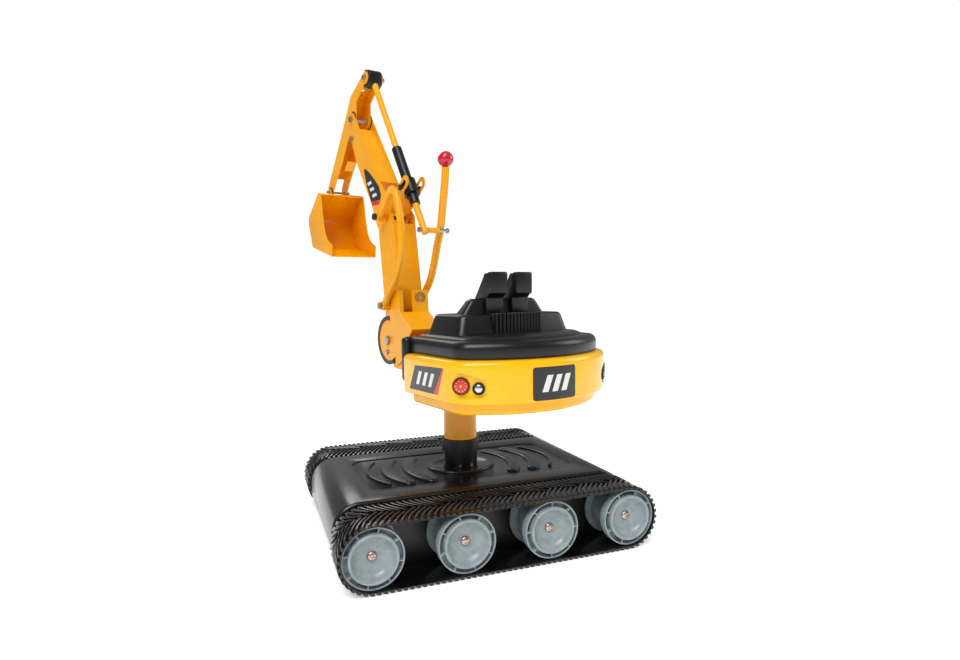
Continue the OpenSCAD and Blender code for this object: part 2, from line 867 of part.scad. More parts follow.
module bucket() {
  lug_hw = stick_hw + 3.8;
  color("#f3a101") on_seat() {
    difference() {
      side_view(-bucket_hw, 2 * bucket_hw) bucket_skin();
      cross_bar(p_bucket, -stick_hw - 1.5, stick_hw + 1.5, 16);
    }
    plates(bucket_hw, sheet) bucket_cheek();
    plates(lug_hw, sheet) difference() {
      union() {
        translate(p_bucket) circle(10);
        polygon([[501.5, 605], [497, 604], [515, 588.5], [521, 612]]);
      }
      translate(p_bucket) circle(bolt_r);
    }
    for (i = [0:5])
      translate([-bucket_hw + 9 + i * 17.2, lip[0], lip[1] + 1]) cylinder(r = 4, h = sheet, center = true);
  }
}

module bucket_pin() {
  color("#9aa0a6") on_seat() cross_fastener(p_bucket, -stick_hw - 4.1, stick_hw + 4.1, bolt_r, 6);
}

module bucket_liners() {
  color("#101010") on_seat()
    for (s = [-1, 1]) cross_ring(p_bucket, s * (stick_hw + 0.9), 1.2, 12.5);
}

near_track();
far_track();
chassis_frame();
chassis_cover();
axle_bolts();
roller_near_1();
roller_near_2();
roller_near_3();
roller_near_4();
roller_far_1();
roller_far_2();
roller_far_3();
roller_far_4();
pillar();
pillar_screws();
thrust_collar();
slew_core();
slew_bolt();
column_tube();
column_bushes();
seat_frame();
lower_shell();
seat_shell();
seat_screws();
tail_lamps();
work_lamps();
tilt_bolt();
foot_bracket();
finger_guards();
lower_boom();
upper_boom();
grab_handle();
axle_bolt();
elbow_bolt();
rod_bracket();
stop_bolt();
stick_bolt();
stick_liners();
lever_tube();
lever_knob();
cross_bolt();
cross_spacer();
push_rod();
guide_sleeve();
sleeve_pins();
stick();
stick_head();
head_bolt();
bucket();
bucket_pin();
bucket_liners();
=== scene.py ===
"""Looks of a ride-on toy excavator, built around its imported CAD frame.

Each sub-assembly is a class that models its visible pieces by hand tools, dresses them in
the finish of the real material and hangs them on the CAD body that carries them.
"""

import json
import logging
import math
from dataclasses import dataclass, field
from enum import Enum
from typing import Callable, Iterable, Sequence

import bpy
from mathutils import Matrix, Vector

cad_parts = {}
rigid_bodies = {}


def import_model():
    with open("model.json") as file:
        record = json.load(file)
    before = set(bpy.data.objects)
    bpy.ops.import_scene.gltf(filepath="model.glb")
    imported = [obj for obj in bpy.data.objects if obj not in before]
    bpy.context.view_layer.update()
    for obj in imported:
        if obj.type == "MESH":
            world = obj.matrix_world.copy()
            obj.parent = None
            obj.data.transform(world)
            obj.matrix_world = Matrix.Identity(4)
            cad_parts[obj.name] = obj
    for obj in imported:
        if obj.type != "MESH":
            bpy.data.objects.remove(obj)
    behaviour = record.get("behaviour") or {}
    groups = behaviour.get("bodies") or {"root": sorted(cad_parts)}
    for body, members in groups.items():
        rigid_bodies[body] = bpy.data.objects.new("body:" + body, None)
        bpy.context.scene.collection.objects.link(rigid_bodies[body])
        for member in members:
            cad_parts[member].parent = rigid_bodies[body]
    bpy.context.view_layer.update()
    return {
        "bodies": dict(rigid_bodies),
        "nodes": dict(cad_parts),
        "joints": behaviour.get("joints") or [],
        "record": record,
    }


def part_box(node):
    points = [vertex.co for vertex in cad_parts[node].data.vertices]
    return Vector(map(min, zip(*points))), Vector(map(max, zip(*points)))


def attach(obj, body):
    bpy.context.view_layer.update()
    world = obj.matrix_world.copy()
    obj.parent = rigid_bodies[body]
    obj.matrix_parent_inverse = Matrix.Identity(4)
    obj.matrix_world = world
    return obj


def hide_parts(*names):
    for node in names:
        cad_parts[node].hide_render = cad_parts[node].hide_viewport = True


LOG = logging.getLogger("toy_excavator")
MM = 0.001
Point = Sequence[float]
FaceTest = Callable[[Vector, Vector], bool]


class Body(str, Enum):
    """CAD bodies that carry the visual pieces."""

    BASE = "base"
    SEAT = "seat"
    BOOM = "boom"
    LEVER = "lever"
    STICK = "stick"
    BUCKET = "bucket"


# ---------------------------------------------------------------- finishes


def linear(colour: str) -> tuple[float, float, float, float]:
    """Turns an sRGB hex colour into linear RGBA.

    Args:
        colour: six hex digits after a hash sign.

    Returns:
        The colour as linear red, green, blue and alpha.
    """
    channels = [int(colour[i : i + 2], 16) / 255 for i in (1, 3, 5)]
    red, green, blue = (
        c / 12.92 if c <= 0.04045 else ((c + 0.055) / 1.055) ** 2.4 for c in channels
    )
    return red, green, blue, 1.0


def add_node(
    tree: bpy.types.NodeTree, kind: str, links: dict[str, bpy.types.NodeSocket], **settings: object
) -> bpy.types.Node:
    """Adds one shader node with its settings and links.

    Args:
        tree: node tree that gets the node.
        kind: Blender's name of the node type.
        links: input name to the output socket that feeds it.
        **settings: node attributes, or input defaults written as in_Name.

    Returns:
        The new node.
    """
    node = tree.nodes.new(kind)
    for key, value in settings.items():
        if key.startswith("in_"):
            node.inputs[key[3:].replace("_", " ")].default_value = value
        else:
            setattr(node, key, value)
    for name, source in links.items():
        tree.links.new(source, node.inputs[name])
    return node


@dataclass(frozen=True)
class Finish:
    """One real material and how its surface was made.

    Attributes:
        name: the material's name.
        colour: main sRGB hex colour.
        shade: second sRGB hex colour that the main one drifts to.
        roughness: mean microfacet roughness.
        smear: how far the roughness drifts either way.
        metallic: 1 for bare metal.
        ior: index of refraction, left at the default for a metal.
        coat: clear coat weight.
        shine: specular level, one half for a bare dielectric.
        grain_mm: size of the fine surface relief.
        relief_mm: height of the fine surface relief.
        drift_mm: size of the patches in which colour and gloss drift.
    """

    name: str
    colour: str
    shade: str
    roughness: float
    smear: float = 0.05
    metallic: float = 0.0
    ior: float = 1.5
    coat: float = 0.0
    shine: float = 0.5
    grain_mm: float = 1.0
    relief_mm: float = 0.01
    drift_mm: float = 40.0

    def build(self) -> bpy.types.Material:
        """Makes the Blender material of this finish."""
        material = bpy.data.materials.new(self.name)
        material.use_nodes = True
        tree = material.node_tree
        shader = tree.nodes["Principled BSDF"]
        shader.inputs["Metallic"].default_value = self.metallic
        shader.inputs["IOR"].default_value = self.ior
        shader.inputs["Coat Weight"].default_value = self.coat
        shader.inputs["Specular IOR Level"].default_value = self.shine
        shader.inputs["Coat Roughness"].default_value = 0.08
        place = add_node(tree, "ShaderNodeTexCoord", {}).outputs["Object"]
        drift = add_node(
            tree, "ShaderNodeTexNoise", {"Vector": place},
            in_Scale=1 / (self.drift_mm * MM), in_Detail=4.0, in_Roughness=0.6,
        ).outputs["Fac"]
        colour = add_node(tree, "ShaderNodeValToRGB", {"Fac": drift})
        colour.color_ramp.elements[0].position = 0.35
        colour.color_ramp.elements[0].color = linear(self.shade)
        colour.color_ramp.elements[1].position = 0.65
        colour.color_ramp.elements[1].color = linear(self.colour)
        gloss = add_node(
            tree, "ShaderNodeMapRange", {"Value": drift},
            in_To_Min=self.roughness - self.smear, in_To_Max=self.roughness + self.smear,
        )
        grain = add_node(
            tree, "ShaderNodeTexNoise", {"Vector": place},
            in_Scale=1 / (self.grain_mm * MM), in_Detail=2.0,
        ).outputs["Fac"]
        bump = add_node(
            tree, "ShaderNodeBump", {"Height": grain}, in_Distance=self.relief_mm * MM, in_Strength=1.0
        )
        tree.links.new(colour.outputs["Color"], shader.inputs["Base Color"])
        tree.links.new(gloss.outputs["Result"], shader.inputs["Roughness"])
        tree.links.new(bump.outputs["Normal"], shader.inputs["Normal"])
        return material


class Look(Enum):
    """Every finish of the toy, named for its material and making."""

    # Powder-coated sheet steel: an even, thick gloss with a faint orange-peel relief.
    POWDER_YELLOW = Finish(
        "powder_coated_steel_yellow", "#F9AC00", "#F4A400", 0.27,
        coat=0.15, grain_mm=2.5, relief_mm=0.012, shine=0.35,
    )
    # Injection-moulded ABS, polished: lemon yellow with broad soft reflections.
    SHELL_YELLOW = Finish(
        "polished_abs_yellow", "#FFC000", "#FDB900", 0.16, 0.03,
        coat=0.2, grain_mm=30.0, relief_mm=0.05, shine=0.4,
    )
    # Blow-moulded HDPE: near-black satin with a faint waxy unevenness.
    SEAT_BLACK = Finish(
        "blow_moulded_hdpe_black", "#0A0A0C", "#070709", 0.32, 0.05, grain_mm=1.2, relief_mm=0.02
    )
    # Vacuum-formed ABS sheet: glossy black that mirrors the pale room.
    COVER_BLACK = Finish(
        "vacuum_formed_abs_black", "#101012", "#0D0D0F", 0.26, 0.03,
        coat=0.15, grain_mm=45.0, relief_mm=0.06,
    )
    # Moulded nylon: dull black.
    NYLON_BLACK = Finish(
        "moulded_nylon_black", "#0A0A0B", "#070708", 0.34, 0.06, grain_mm=0.9, relief_mm=0.02
    )
    NYLON_NATURAL = Finish("moulded_nylon_natural", "#D9D9D2", "#CFCFC6", 0.45, grain_mm=0.9)
    # Moulded rubber: dark, dry, with paler rubbed patches.
    TRACK_RUBBER = Finish(
        "moulded_rubber_track", "#0F0F0E", "#090908", 0.24, 0.07,
        coat=0.25, grain_mm=0.8, relief_mm=0.03, drift_mm=9.0,
    )
    # Moulded polypropylene: cool grey with a cloudy marbling.
    ROLLER_GREY = Finish(
        "moulded_polypropylene_grey", "#98A5A9", "#8A979C", 0.27, 0.05, ior=1.49, grain_mm=0.8, drift_mm=14.0
    )
    ZINC = Finish("zinc_plated_steel", "#B9BCBF", "#9EA2A8", 0.3, 0.08, 1.0, grain_mm=0.6, drift_mm=6.0)
    ZINC_WARM = Finish(
        "passivated_steel", "#D9C3B2", "#BFA999", 0.28, 0.08, 1.0, grain_mm=0.6, drift_mm=5.0
    )
    BLACK_STEEL = Finish("blacked_steel", "#1A1C20", "#121418", 0.3, grain_mm=0.7, coat=0.3)
    KNOB_RED = Finish("phenolic_ball_red", "#D3142F", "#C90F28", 0.16, 0.03, coat=0.5, grain_mm=20.0)
    LAMP_RED = Finish(
        "reflector_acrylic_red", "#D11A1C", "#A80D10", 0.2, coat=0.8, grain_mm=2.2, relief_mm=0.25
    )
    LAMP_DOT = Finish("reflector_acrylic_amber", "#E8B23A", "#D99A20", 0.25, coat=0.6)
    CHROME = Finish("chromed_plastic", "#D5D8DC", "#C4C8CE", 0.12, 0.04, 1.0, grain_mm=8.0)
    VINYL_BLACK = Finish("printed_vinyl_black", "#0C0C0E", "#09090B", 0.24, 0.04, coat=0.3, grain_mm=12.0)
    VINYL_RED = Finish("printed_vinyl_red", "#D62236", "#CC1B30", 0.24, 0.04, coat=0.3, grain_mm=12.0)
    VINYL_PALE = Finish("printed_vinyl_pale", "#E9E9E6", "#DEDEDA", 0.26, 0.04, coat=0.3, grain_mm=12.0)
    BADGE = Finish(
        "pressed_badge_yellow", "#E3A21C", "#B87F14", 0.35, coat=0.2, grain_mm=1.5, relief_mm=0.05
    )


SLOT_LOOKS: dict[str, Look] = {
    "painted_yellow": Look.POWDER_YELLOW,
    "shell_yellow": Look.SHELL_YELLOW,
    "seat_black": Look.SEAT_BLACK,
    "cover_black": Look.COVER_BLACK,
    "black_plastic": Look.NYLON_BLACK,
    "white_plastic": Look.NYLON_NATURAL,
    "track_rubber": Look.TRACK_RUBBER,
    "roller_grey": Look.ROLLER_GREY,
    "zinc": Look.ZINC,
    "black_steel": Look.BLACK_STEEL,
    "knob_red": Look.KNOB_RED,
    "lamp_red": Look.LAMP_RED,
    "lamp_silver": Look.CHROME,
}


class Palette:
    """Builds each finish once and hands out its material."""

    def __init__(self) -> None:
        """Starts with no material built."""
        self._made: dict[Look, bpy.types.Material] = {}

    def __getitem__(self, look: Look) -> bpy.types.Material:
        """Returns the material of a look, making it when first asked."""
        if look not in self._made:
            self._made[look] = look.value.build()
        return self._made[look]


# ---------------------------------------------------------------- hand tools


def only(*pieces: bpy.types.Object) -> None:
    """Selects just these objects and makes the first one active."""
    if bpy.context.object and bpy.context.object.mode != "OBJECT":
        bpy.ops.object.mode_set(mode="OBJECT")
    bpy.ops.object.select_all(action="DESELECT")
    for piece in pieces:
        piece.select_set(True)
    bpy.context.view_layer.objects.active = pieces[0]


def named(name: str) -> bpy.types.Object:
    """Names the object that was just added and returns it."""
    piece = bpy.context.object
    piece.name = name
    piece.data.name = name
    return piece


def trace(name: str, points: Sequence[Point]) -> bpy.types.Object:
    """Draws a closed flat outline vertex by vertex and fills it.

    Args:
        name: the piece's name.
        points: corners of the outline, in metres.

    Returns:
        A mesh of one face.
    """
    bpy.ops.object.select_all(action="DESELECT")
    bpy.context.tool_settings.mesh_select_mode = (True, False, False)
    bpy.ops.mesh.primitive_plane_add(size=MM)
    piece = named(name)
    bpy.ops.object.mode_set(mode="EDIT")
    bpy.ops.mesh.select_all(action="SELECT")
    bpy.ops.mesh.merge(type="CENTER")
    bpy.ops.transform.translate(value=Vector(points[0]))
    for here, there in zip(points, points[1:]):
        bpy.ops.mesh.extrude_region_move(TRANSFORM_OT_translate={"value": Vector(there) - Vector(here)})
    bpy.ops.mesh.select_all(action="SELECT")
    bpy.ops.mesh.edge_face_add()
    bpy.ops.object.mode_set(mode="OBJECT")
    return piece


def pick(piece: bpy.types.Object, test: FaceTest) -> int:
    """Enters edit mode with just the faces that pass a test selected.

    Args:
        piece: mesh to edit.
        test: takes a face's centre and normal.

    Returns:
        How many faces are selected.
    """
    only(piece)
    mesh = piece.data
    for part in (mesh.vertices, mesh.edges, mesh.polygons):
        part.foreach_set("select", [False] * len(part))
    count = 0
    for face in mesh.polygons:
        face.select = test(face.center, face.normal)
        count += face.select
    bpy.context.tool_settings.mesh_select_mode = (False, False, True)
    bpy.ops.object.mode_set(mode="EDIT")
    return count


def leave_edit() -> None:
    """Goes back to object mode."""
    bpy.ops.object.mode_set(mode="OBJECT")


def outward(piece: bpy.types.Object) -> None:
    """Merges doubles and turns every face outwards."""
    only(piece)
    bpy.ops.object.mode_set(mode="EDIT")
    bpy.ops.mesh.select_all(action="SELECT")
    bpy.ops.mesh.remove_doubles(threshold=0.00001)
    bpy.ops.mesh.normals_make_consistent(inside=False)
    leave_edit()


def slab(name: str, points: Sequence[Point], depth: Point) -> bpy.types.Object:
    """Draws an outline and extrudes it along a vector, in metres."""
    piece = trace(name, points)
    pick(piece, lambda centre, normal: True)
    bpy.ops.mesh.extrude_region_move(TRANSFORM_OT_translate={"value": Vector(depth)})
    outward(piece)
    return piece


def layer(name: str, outline: Iterable[Point], low_mm: float, high_mm: float) -> bpy.types.Object:
    """A flat layer of a plan outline between two heights, all in millimetres."""
    return slab(name, [(x * MM, y * MM, low_mm * MM) for x, y in outline], (0, 0, (high_mm - low_mm) * MM))


def turned(name: str, profile: Sequence[Point], steps: int) -> bpy.types.Object:
    """Spins a profile of [radius, height] millimetres about the Z axis."""
    piece = trace(name, [(r * MM, 0, z * MM) for r, z in profile])
    pick(piece, lambda centre, normal: True)
    bpy.ops.mesh.spin(steps=steps, angle=2 * math.pi, center=(0, 0, 0), axis=(0, 0, 1))
    leave_edit()
    outward(piece)
    return piece


def soften(piece: bpy.types.Object, up: float, radius_mm: float, steps: int = 6) -> None:
    """Rounds the rim of a layer's top (up = 1) or bottom (up = -1)."""
    pick(piece, lambda centre, normal: normal.z * up > 0.9)
    bpy.ops.mesh.bevel(offset=radius_mm * MM, segments=steps, affect="EDGES", clamp_overlap=True)
    leave_edit()


def apply_modifier(piece: bpy.types.Object, kind: str, **settings: object) -> None:
    """Adds a modifier with its settings and applies it."""
    only(piece)
    modifier = piece.modifiers.new(kind.title(), kind)
    for key, value in settings.items():
        setattr(modifier, key, value)
    bpy.ops.object.modifier_apply(modifier=modifier.name)


def round_edges(piece: bpy.types.Object, width_mm: float, segments: int = 3, angle: float = 30.0) -> None:
    """Rounds every edge that is sharper than an angle."""
    apply_modifier(
        piece, "BEVEL", width=width_mm * MM, segments=segments, limit_method="ANGLE",
        angle_limit=math.radians(angle), use_clamp_overlap=True, harden_normals=False,
    )


def carve(piece: bpy.types.Object, cutter: bpy.types.Object, operation: str = "DIFFERENCE") -> None:
    """Cuts or joins one solid with another, which is used up."""
    apply_modifier(piece, "BOOLEAN", object=cutter, operation=operation, solver="EXACT")
    bpy.data.objects.remove(cutter, do_unlink=True)


def join(name: str, pieces: Sequence[bpy.types.Object]) -> bpy.types.Object:
    """Joins pieces into one object."""
    only(*pieces)
    if len(pieces) > 1:
        bpy.ops.object.join()
    return named(name)


def drop(*pieces: bpy.types.Object) -> None:
    """Throws away pieces that only served as patterns."""
    for piece in pieces:
        bpy.data.objects.remove(piece, do_unlink=True)


def tube(name: str, points: Sequence[Point], radius_mm: float, smooth: bool = True) -> bpy.types.Object:
    """Bends a round tube through points given in millimetres.

    Args:
        name: the piece's name.
        points: places that the tube's middle line passes.
        radius_mm: outer radius.
        smooth: whether the line is a curve, or straight between the points.

    Returns:
        A closed mesh.
    """
    bpy.ops.object.select_all(action="DESELECT")
    bpy.ops.curve.primitive_bezier_curve_add()
    piece = named(name)
    spline = piece.data.splines[0]
    spline.bezier_points.add(len(points) - 2)
    for knot, point in zip(spline.bezier_points, points):
        knot.co = Vector(point) * MM
        knot.handle_left_type = knot.handle_right_type = "AUTO" if smooth else "VECTOR"
    piece.data.dimensions = "3D"
    piece.data.resolution_u = 10 if smooth else 1
    piece.data.bevel_depth = radius_mm * MM
    piece.data.bevel_resolution = 6
    piece.data.use_fill_caps = True
    bpy.ops.object.convert(target="MESH")
    outward(piece)
    return piece


def disc(
    name: str, radius_mm: float, depth_mm: float, place: Matrix, sides: int = 48
) -> bpy.types.Object:
    """Turns a cylinder whose foot is at a place, along that place's Z axis."""
    bpy.ops.object.select_all(action="DESELECT")
    bpy.ops.mesh.primitive_cylinder_add(
        vertices=sides, radius=radius_mm * MM, depth=depth_mm * MM, location=(0, 0, depth_mm * MM / 2)
    )
    piece = named(name)
    settle(piece, place)
    return piece


def settle(piece: bpy.types.Object, place: Matrix) -> None:
    """Moves a piece by a matrix and keeps its object at the origin."""
    only(piece)
    bpy.ops.object.transform_apply(location=True, rotation=True, scale=True)
    piece.matrix_world = place
    bpy.ops.object.transform_apply(location=True, rotation=True, scale=True)


def copy_of(piece: bpy.types.Object, name: str, place: Matrix) -> bpy.types.Object:
    """Copies a piece with its own mesh to a place."""
    only(piece)
    bpy.ops.object.duplicate(linked=False)
    twin = named(name)
    settle(twin, place)
    return twin


def arc(centre: Point, radius: float, start: float, end: float, steps: int) -> list[tuple[float, float]]:
    """Points of a circular arc in a plane, angles in degrees."""
    angles = [math.radians(start + (end - start) * i / steps) for i in range(steps + 1)]
    return [(centre[0] + radius * math.cos(a), centre[1] + radius * math.sin(a)) for a in angles]


def side_view(points: Iterable[Point], x: float = 0.0) -> list[tuple[float, float, float]]:
    """Turns [y, z] millimetres of a side view into points in metres."""
    return [(x * MM, y * MM, z * MM) for y, z in points]


# ---------------------------------------------------------------- the toy


@dataclass
class Workshop:
    """What every sub-assembly needs: the frame, its axes and the paint shelf."""

    frame: dict[str, object]
    palette: Palette = field(default_factory=Palette)

    def __post_init__(self) -> None:
        """Reads the slewing axis and the base's turn from the CAD pieces."""
        post = self.centre("column_tube")
        first, last = self.centre("roller_near_1"), self.centre("roller_near_4")
        along = last - first
        turn = Matrix.Rotation(math.atan2(along.y, along.x), 4, "Z")
        self.seat: Matrix = Matrix.Translation((post.x, post.y, 0))
        self.base: Matrix = self.seat @ turn

    def centre(self, node: str) -> Vector:
        """Middle of a CAD node's box."""
        low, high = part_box(node)
        return (Vector(low) + Vector(high)) / 2

    def hand_over(
        self, piece: bpy.types.Object, look: Look, body: str, nodes: Sequence[str] = (),
        slot: str | None = None, place: Matrix | None = None,
    ) -> bpy.types.Object:
        """Places, dresses and hangs up a finished piece.

        Args:
            piece: the finished mesh, in the sub-assembly's own frame.
            look: its finish, for every face that has none yet.
            body: CAD body that carries it.
            nodes: CAD nodes that it stands for.
            slot: the record's material slot; not used.
            place: the sub-assembly's frame, or None when already placed.

        Returns:
            The piece.
        """
        settle(piece, place or Matrix())
        if not piece.data.materials:
            piece.data.materials.append(self.palette[look])
        only(piece)
        bpy.ops.object.shade_smooth_by_angle(angle=math.radians(38))
        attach(piece, str(body.value if isinstance(body, Enum) else body))
        if nodes:
            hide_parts(*nodes)
        LOG.info("%s: %d faces", piece.name, len(piece.data.polygons))
        return piece


@dataclass
class Undercarriage:
    """Tracks, rollers and the chassis cover."""

    shop: Workshop
    track_half_mm: float = 190.0
    track_axis_mm: float = 47.5
    belt_outer_mm: float = 43.8
    belt_inner_mm: float = 41.9
    lug_height_mm: float = 3.6
    track_width_mm: float = 74.0
    track_middle_mm: float = 178.0
    lug_groups: int = 20
    lugs_in_group: int = 6
    lug_lean: float = 0.62
    lug_share: float = 0.27
    lug_bevel_mm: float = 1.5
    lug_root_mm: float = 0.4
    deck_mm: float = 95.0
    deck_half_mm: float = 129.0
    cover_end_mm: float = 232.0
    cover_round_mm: float = 40.0
    cover_foot_mm: float = 30.0
    panel_half_mm: float = 172.0
    panel_wide_mm: float = 84.0
    panel_sink_mm: float = 2.0
    ridge_root_mm: float = 5.0
    ridge_rise_mm: float = 1.2
    ridge_reach_mm: float = 62.0
    ridge_radius_mm: float = 100.0
    ridges_mm: tuple[tuple[float, float], ...] = ((78.0, 98.0), (114.0, 134.0), (153.0, 158.0))

    def stadium(self, radius_mm: float, steps: int) -> list[tuple[float, float]]:
        """Side outline of a track loop in millimetres, around its own middle."""
        half = self.track_half_mm
        return arc((half, 0), radius_mm, -90, 90, steps) + arc((-half, 0), radius_mm, 90, 270, steps)

    def lug(self, number: int, inner: bool) -> bpy.types.Object:
        """One slanted curved rib of the tread, lying in the XZ plane and rising along +Y."""
        run = 2 * math.pi * self.belt_outer_mm + 4 * self.track_half_mm
        pitch = run / self.lug_groups / self.lugs_in_group
        half = self.track_width_mm / 2
        seam = -8 + 14 * number / self.lugs_in_group
        start, end = (half - 0.5, seam + 2) if inner else (-half + 0.5, seam - 2)
        lean = self.lug_lean * abs(end - start)
        spine = []
        for i in range(4):
            t = i / 3
            spine.append((number * pitch + lean * (t ** 1.5), start + (end - start) * t))
        wide = pitch * self.lug_share
        outline = [(x - wide, z) for x, z in spine] + [(x + wide, z) for x, z in reversed(spine)]
        root = self.lug_root_mm
        rise = (0, (self.lug_height_mm + root) * MM, 0)
        rib = slab("lug", [(x * MM, -root * MM, z * MM) for x, z in outline], rise)
        pick(rib, lambda centre, normal: normal.y > 0.9)
        bpy.ops.mesh.bevel(offset=self.lug_bevel_mm * MM, segments=2, affect="EDGES", clamp_overlap=True)
        leave_edit()
        return rib

    def tread(self) -> bpy.types.Object:
        """The ribbed outer face of one track, wrapped round its loop in the XZ plane."""
        run = 2 * math.pi * self.belt_outer_mm + 4 * self.track_half_mm
        ribs = [self.lug(i, inner) for i in range(self.lugs_in_group) for inner in (False, True)]
        strip = join("tread", ribs)
        apply_modifier(
            strip, "ARRAY", count=self.lug_groups, use_relative_offset=False, use_constant_offset=True,
            constant_offset_displace=(run / self.lug_groups * MM, 0, 0),
        )
        bpy.ops.object.select_all(action="DESELECT")
        bpy.ops.curve.primitive_bezier_circle_add(radius=1)
        path = named("tread_path")
        path.data.dimensions = "2D"
        path.data.resolution_u = 24
        half, radius = self.track_half_mm * MM, self.belt_outer_mm * MM
        handle = radius * 4 / 3 * math.tan(math.pi / 8)
        knots = path.data.splines[0].bezier_points
        knots.add(2)
        corners = [
            ((-half, -radius), (-handle, 0), (0, 0)), ((half, -radius), (0, 0), (handle, 0)),
            ((half + radius, 0), (0, -handle), (0, handle)), ((half, radius), (handle, 0), (0, 0)),
            ((-half, radius), (0, 0), (-handle, 0)), ((-half - radius, 0), (0, handle), (0, -handle)),
        ]
        for knot, (co, before, after) in zip(knots, corners):
            knot.handle_left_type = knot.handle_right_type = "FREE"
            knot.co = (*co, 0)
            knot.handle_left = (co[0] + before[0], co[1] + before[1], 0)
            knot.handle_right = (co[0] + after[0], co[1] + after[1], 0)
        apply_modifier(strip, "CURVE", object=path, deform_axis="POS_X")
        drop(path)
        settle(strip, Matrix.Rotation(math.radians(90), 4, "X"))
        return strip

    def belt(self) -> bpy.types.Object:
        """The smooth band that carries the tread, around the loop's own middle."""
        depth = self.track_width_mm * MM
        outline = [(x * MM, -depth / 2, z * MM) for x, z in self.stadium(self.belt_outer_mm, 24)]
        band = slab("belt", outline, (0, depth, 0))
        pick(band, lambda centre, normal: abs(normal.y) > 0.9)
        bpy.ops.mesh.delete(type="ONLY_FACE")
        outward(band)
        apply_modifier(
            band, "SOLIDIFY", thickness=(self.belt_outer_mm - self.belt_inner_mm) * MM, offset=-1
        )
        round_edges(band, 0.9, 2, 60)
        return band

    def tracks(self) -> None:
        """Both tracks, the same track copied to each side."""
        whole = join("track", [self.belt(), self.tread()])
        for name, side in (("near_track", -1), ("far_track", 1)):
            place = Matrix.Translation((0, side * self.track_middle_mm * MM, self.track_axis_mm * MM))
            twin = copy_of(whole, f"{name}_tread", place)
            self.shop.hand_over(twin, Look.TRACK_RUBBER, Body.BASE, [name], "track_rubber", self.shop.base)
        drop(whole)

    def roller(self) -> bpy.types.Object:
        """One roller, its outer face at z = 0 and its barrel along +Z."""
        rim, cup, deep, wide = 41.3, 33.4, 13.2, 62.0
        profile = [
            (5.2, deep), (9, deep), (14, deep - 0.2), (19, deep - 1.2), (23, deep - 3.2), (26, deep - 6.2),
            (28.3, 3.4), (29.4, -0.4), (30.2, -1.5), (31.4, -2), (32.5, -1.6), (33.2, -0.6), (cup, 1),
            (cup, 13),
            (38.9, 13), (39.1, 3.0), (39.7, 2.4), (rim - 0.4, 2.4), (rim, 3.0), (rim, 15.5),
            (rim - 0.5, 16),
            (33.2, 16), (32.9, 17), (32.0, wide - 5), (40.8, wide - 4), (41.3, wide - 3.4),
            (41.3, wide - 0.5), (40.8, wide), (5.2, wide),
        ]
        wheel = turned("roller", profile, 72)
        spokes = []
        for i in range(8):
            bpy.ops.object.select_all(action="DESELECT")
            bpy.ops.mesh.primitive_cube_add(size=1, location=((cup + 39.4) / 2 * MM, 0, 8.4 * MM))
            rib = named("spoke")
            rib.scale = (6.8 * MM, 1.7 * MM, 11.4 * MM)
            settle(rib, Matrix())
            round_edges(rib, 0.35, 2)
            settle(rib, Matrix.Rotation(math.radians(i * 45 + 12), 4, "Z"))
            spokes.append(rib)
        return join("roller", [wheel, *spokes])

    def bolt(self) -> bpy.types.Object:
        """A domed axle bolt with a slotted star recess, seen in the roller's cup."""
        profile = [(0, 9.2), (2.6, 9.3), (5.2, 10.2), (6.6, 11.6), (7.1, 13.5), (7.1, 13.9), (0, 13.9)]
        head = turned("axle_head", profile, 32)
        for angle in (20, 110):
            bpy.ops.object.select_all(action="DESELECT")
            bpy.ops.mesh.primitive_cube_add(size=1, location=(0, 0, 9.6 * MM))
            slot = named("slot")
            slot.scale = (6.4 * MM, 1.5 * MM, 2.4 * MM)
            settle(slot, Matrix())
            settle(slot, Matrix.Rotation(math.radians(angle), 4, "Z"))
            carve(head, slot)
        return head

    def rollers(self) -> None:
        """Eight rollers and the heads of their axle bolts."""
        wheel, head = self.roller(), self.bolt()
        heads = []
        for side_name, side in (("near", -1), ("far", 1)):
            for i in range(4):
                node = f"roller_{side_name}_{i + 1}"
                spot = self.shop.base.inverted() @ self.shop.centre(node)
                face = side * (abs(spot.y) + 31 * MM)
                place = Matrix.Translation((spot.x, face, spot.z)) @ Matrix.Rotation(
                    math.radians(90 * side), 4, "X"
                ) @ Matrix.Rotation(math.radians(17 * i), 4, "Z")
                twin = copy_of(wheel, f"{node}_wheel", place)
                self.shop.hand_over(twin, Look.ROLLER_GREY, node, [node], "roller_grey", self.shop.base)
                heads.append(copy_of(head, "head", place))
        self.shop.hand_over(
            join("axle_bolt_heads", heads), Look.ZINC_WARM, Body.BASE, ["axle_bolts"], "zinc", self.shop.base
        )
        drop(wheel, head)

    def ridge(self, near_mm: float, far_mm: float, side: int) -> bpy.types.Object:
        """One raised curved band of the cover, between two distances from the post."""
        radius, top = self.ridge_radius_mm, self.deck_mm
        middle, mean = near_mm - radius, radius + (far_mm - near_mm) / 2
        half = (far_mm - near_mm) / 2
        reach = math.degrees(math.asin(self.ridge_reach_mm / mean))
        outline = arc((middle, 0), mean - half, -reach, reach, 24)
        for angle, first in ((reach, reach + 180), (-reach, -reach)):
            spot = (middle + mean * math.cos(math.radians(angle)), mean * math.sin(math.radians(angle)))
            outline += arc(spot, half, first, first - 180, 10)[1:-1]
            if angle > 0:
                outline += arc((middle, 0), mean + half, reach, -reach, 24)
        foot, crest = top - self.ridge_root_mm, top + self.ridge_rise_mm
        band = layer("ridge", [(side * x, y) for x, y in outline], foot, crest)
        soften(band, 1, min(3.0, half * 0.8), 4)
        return band

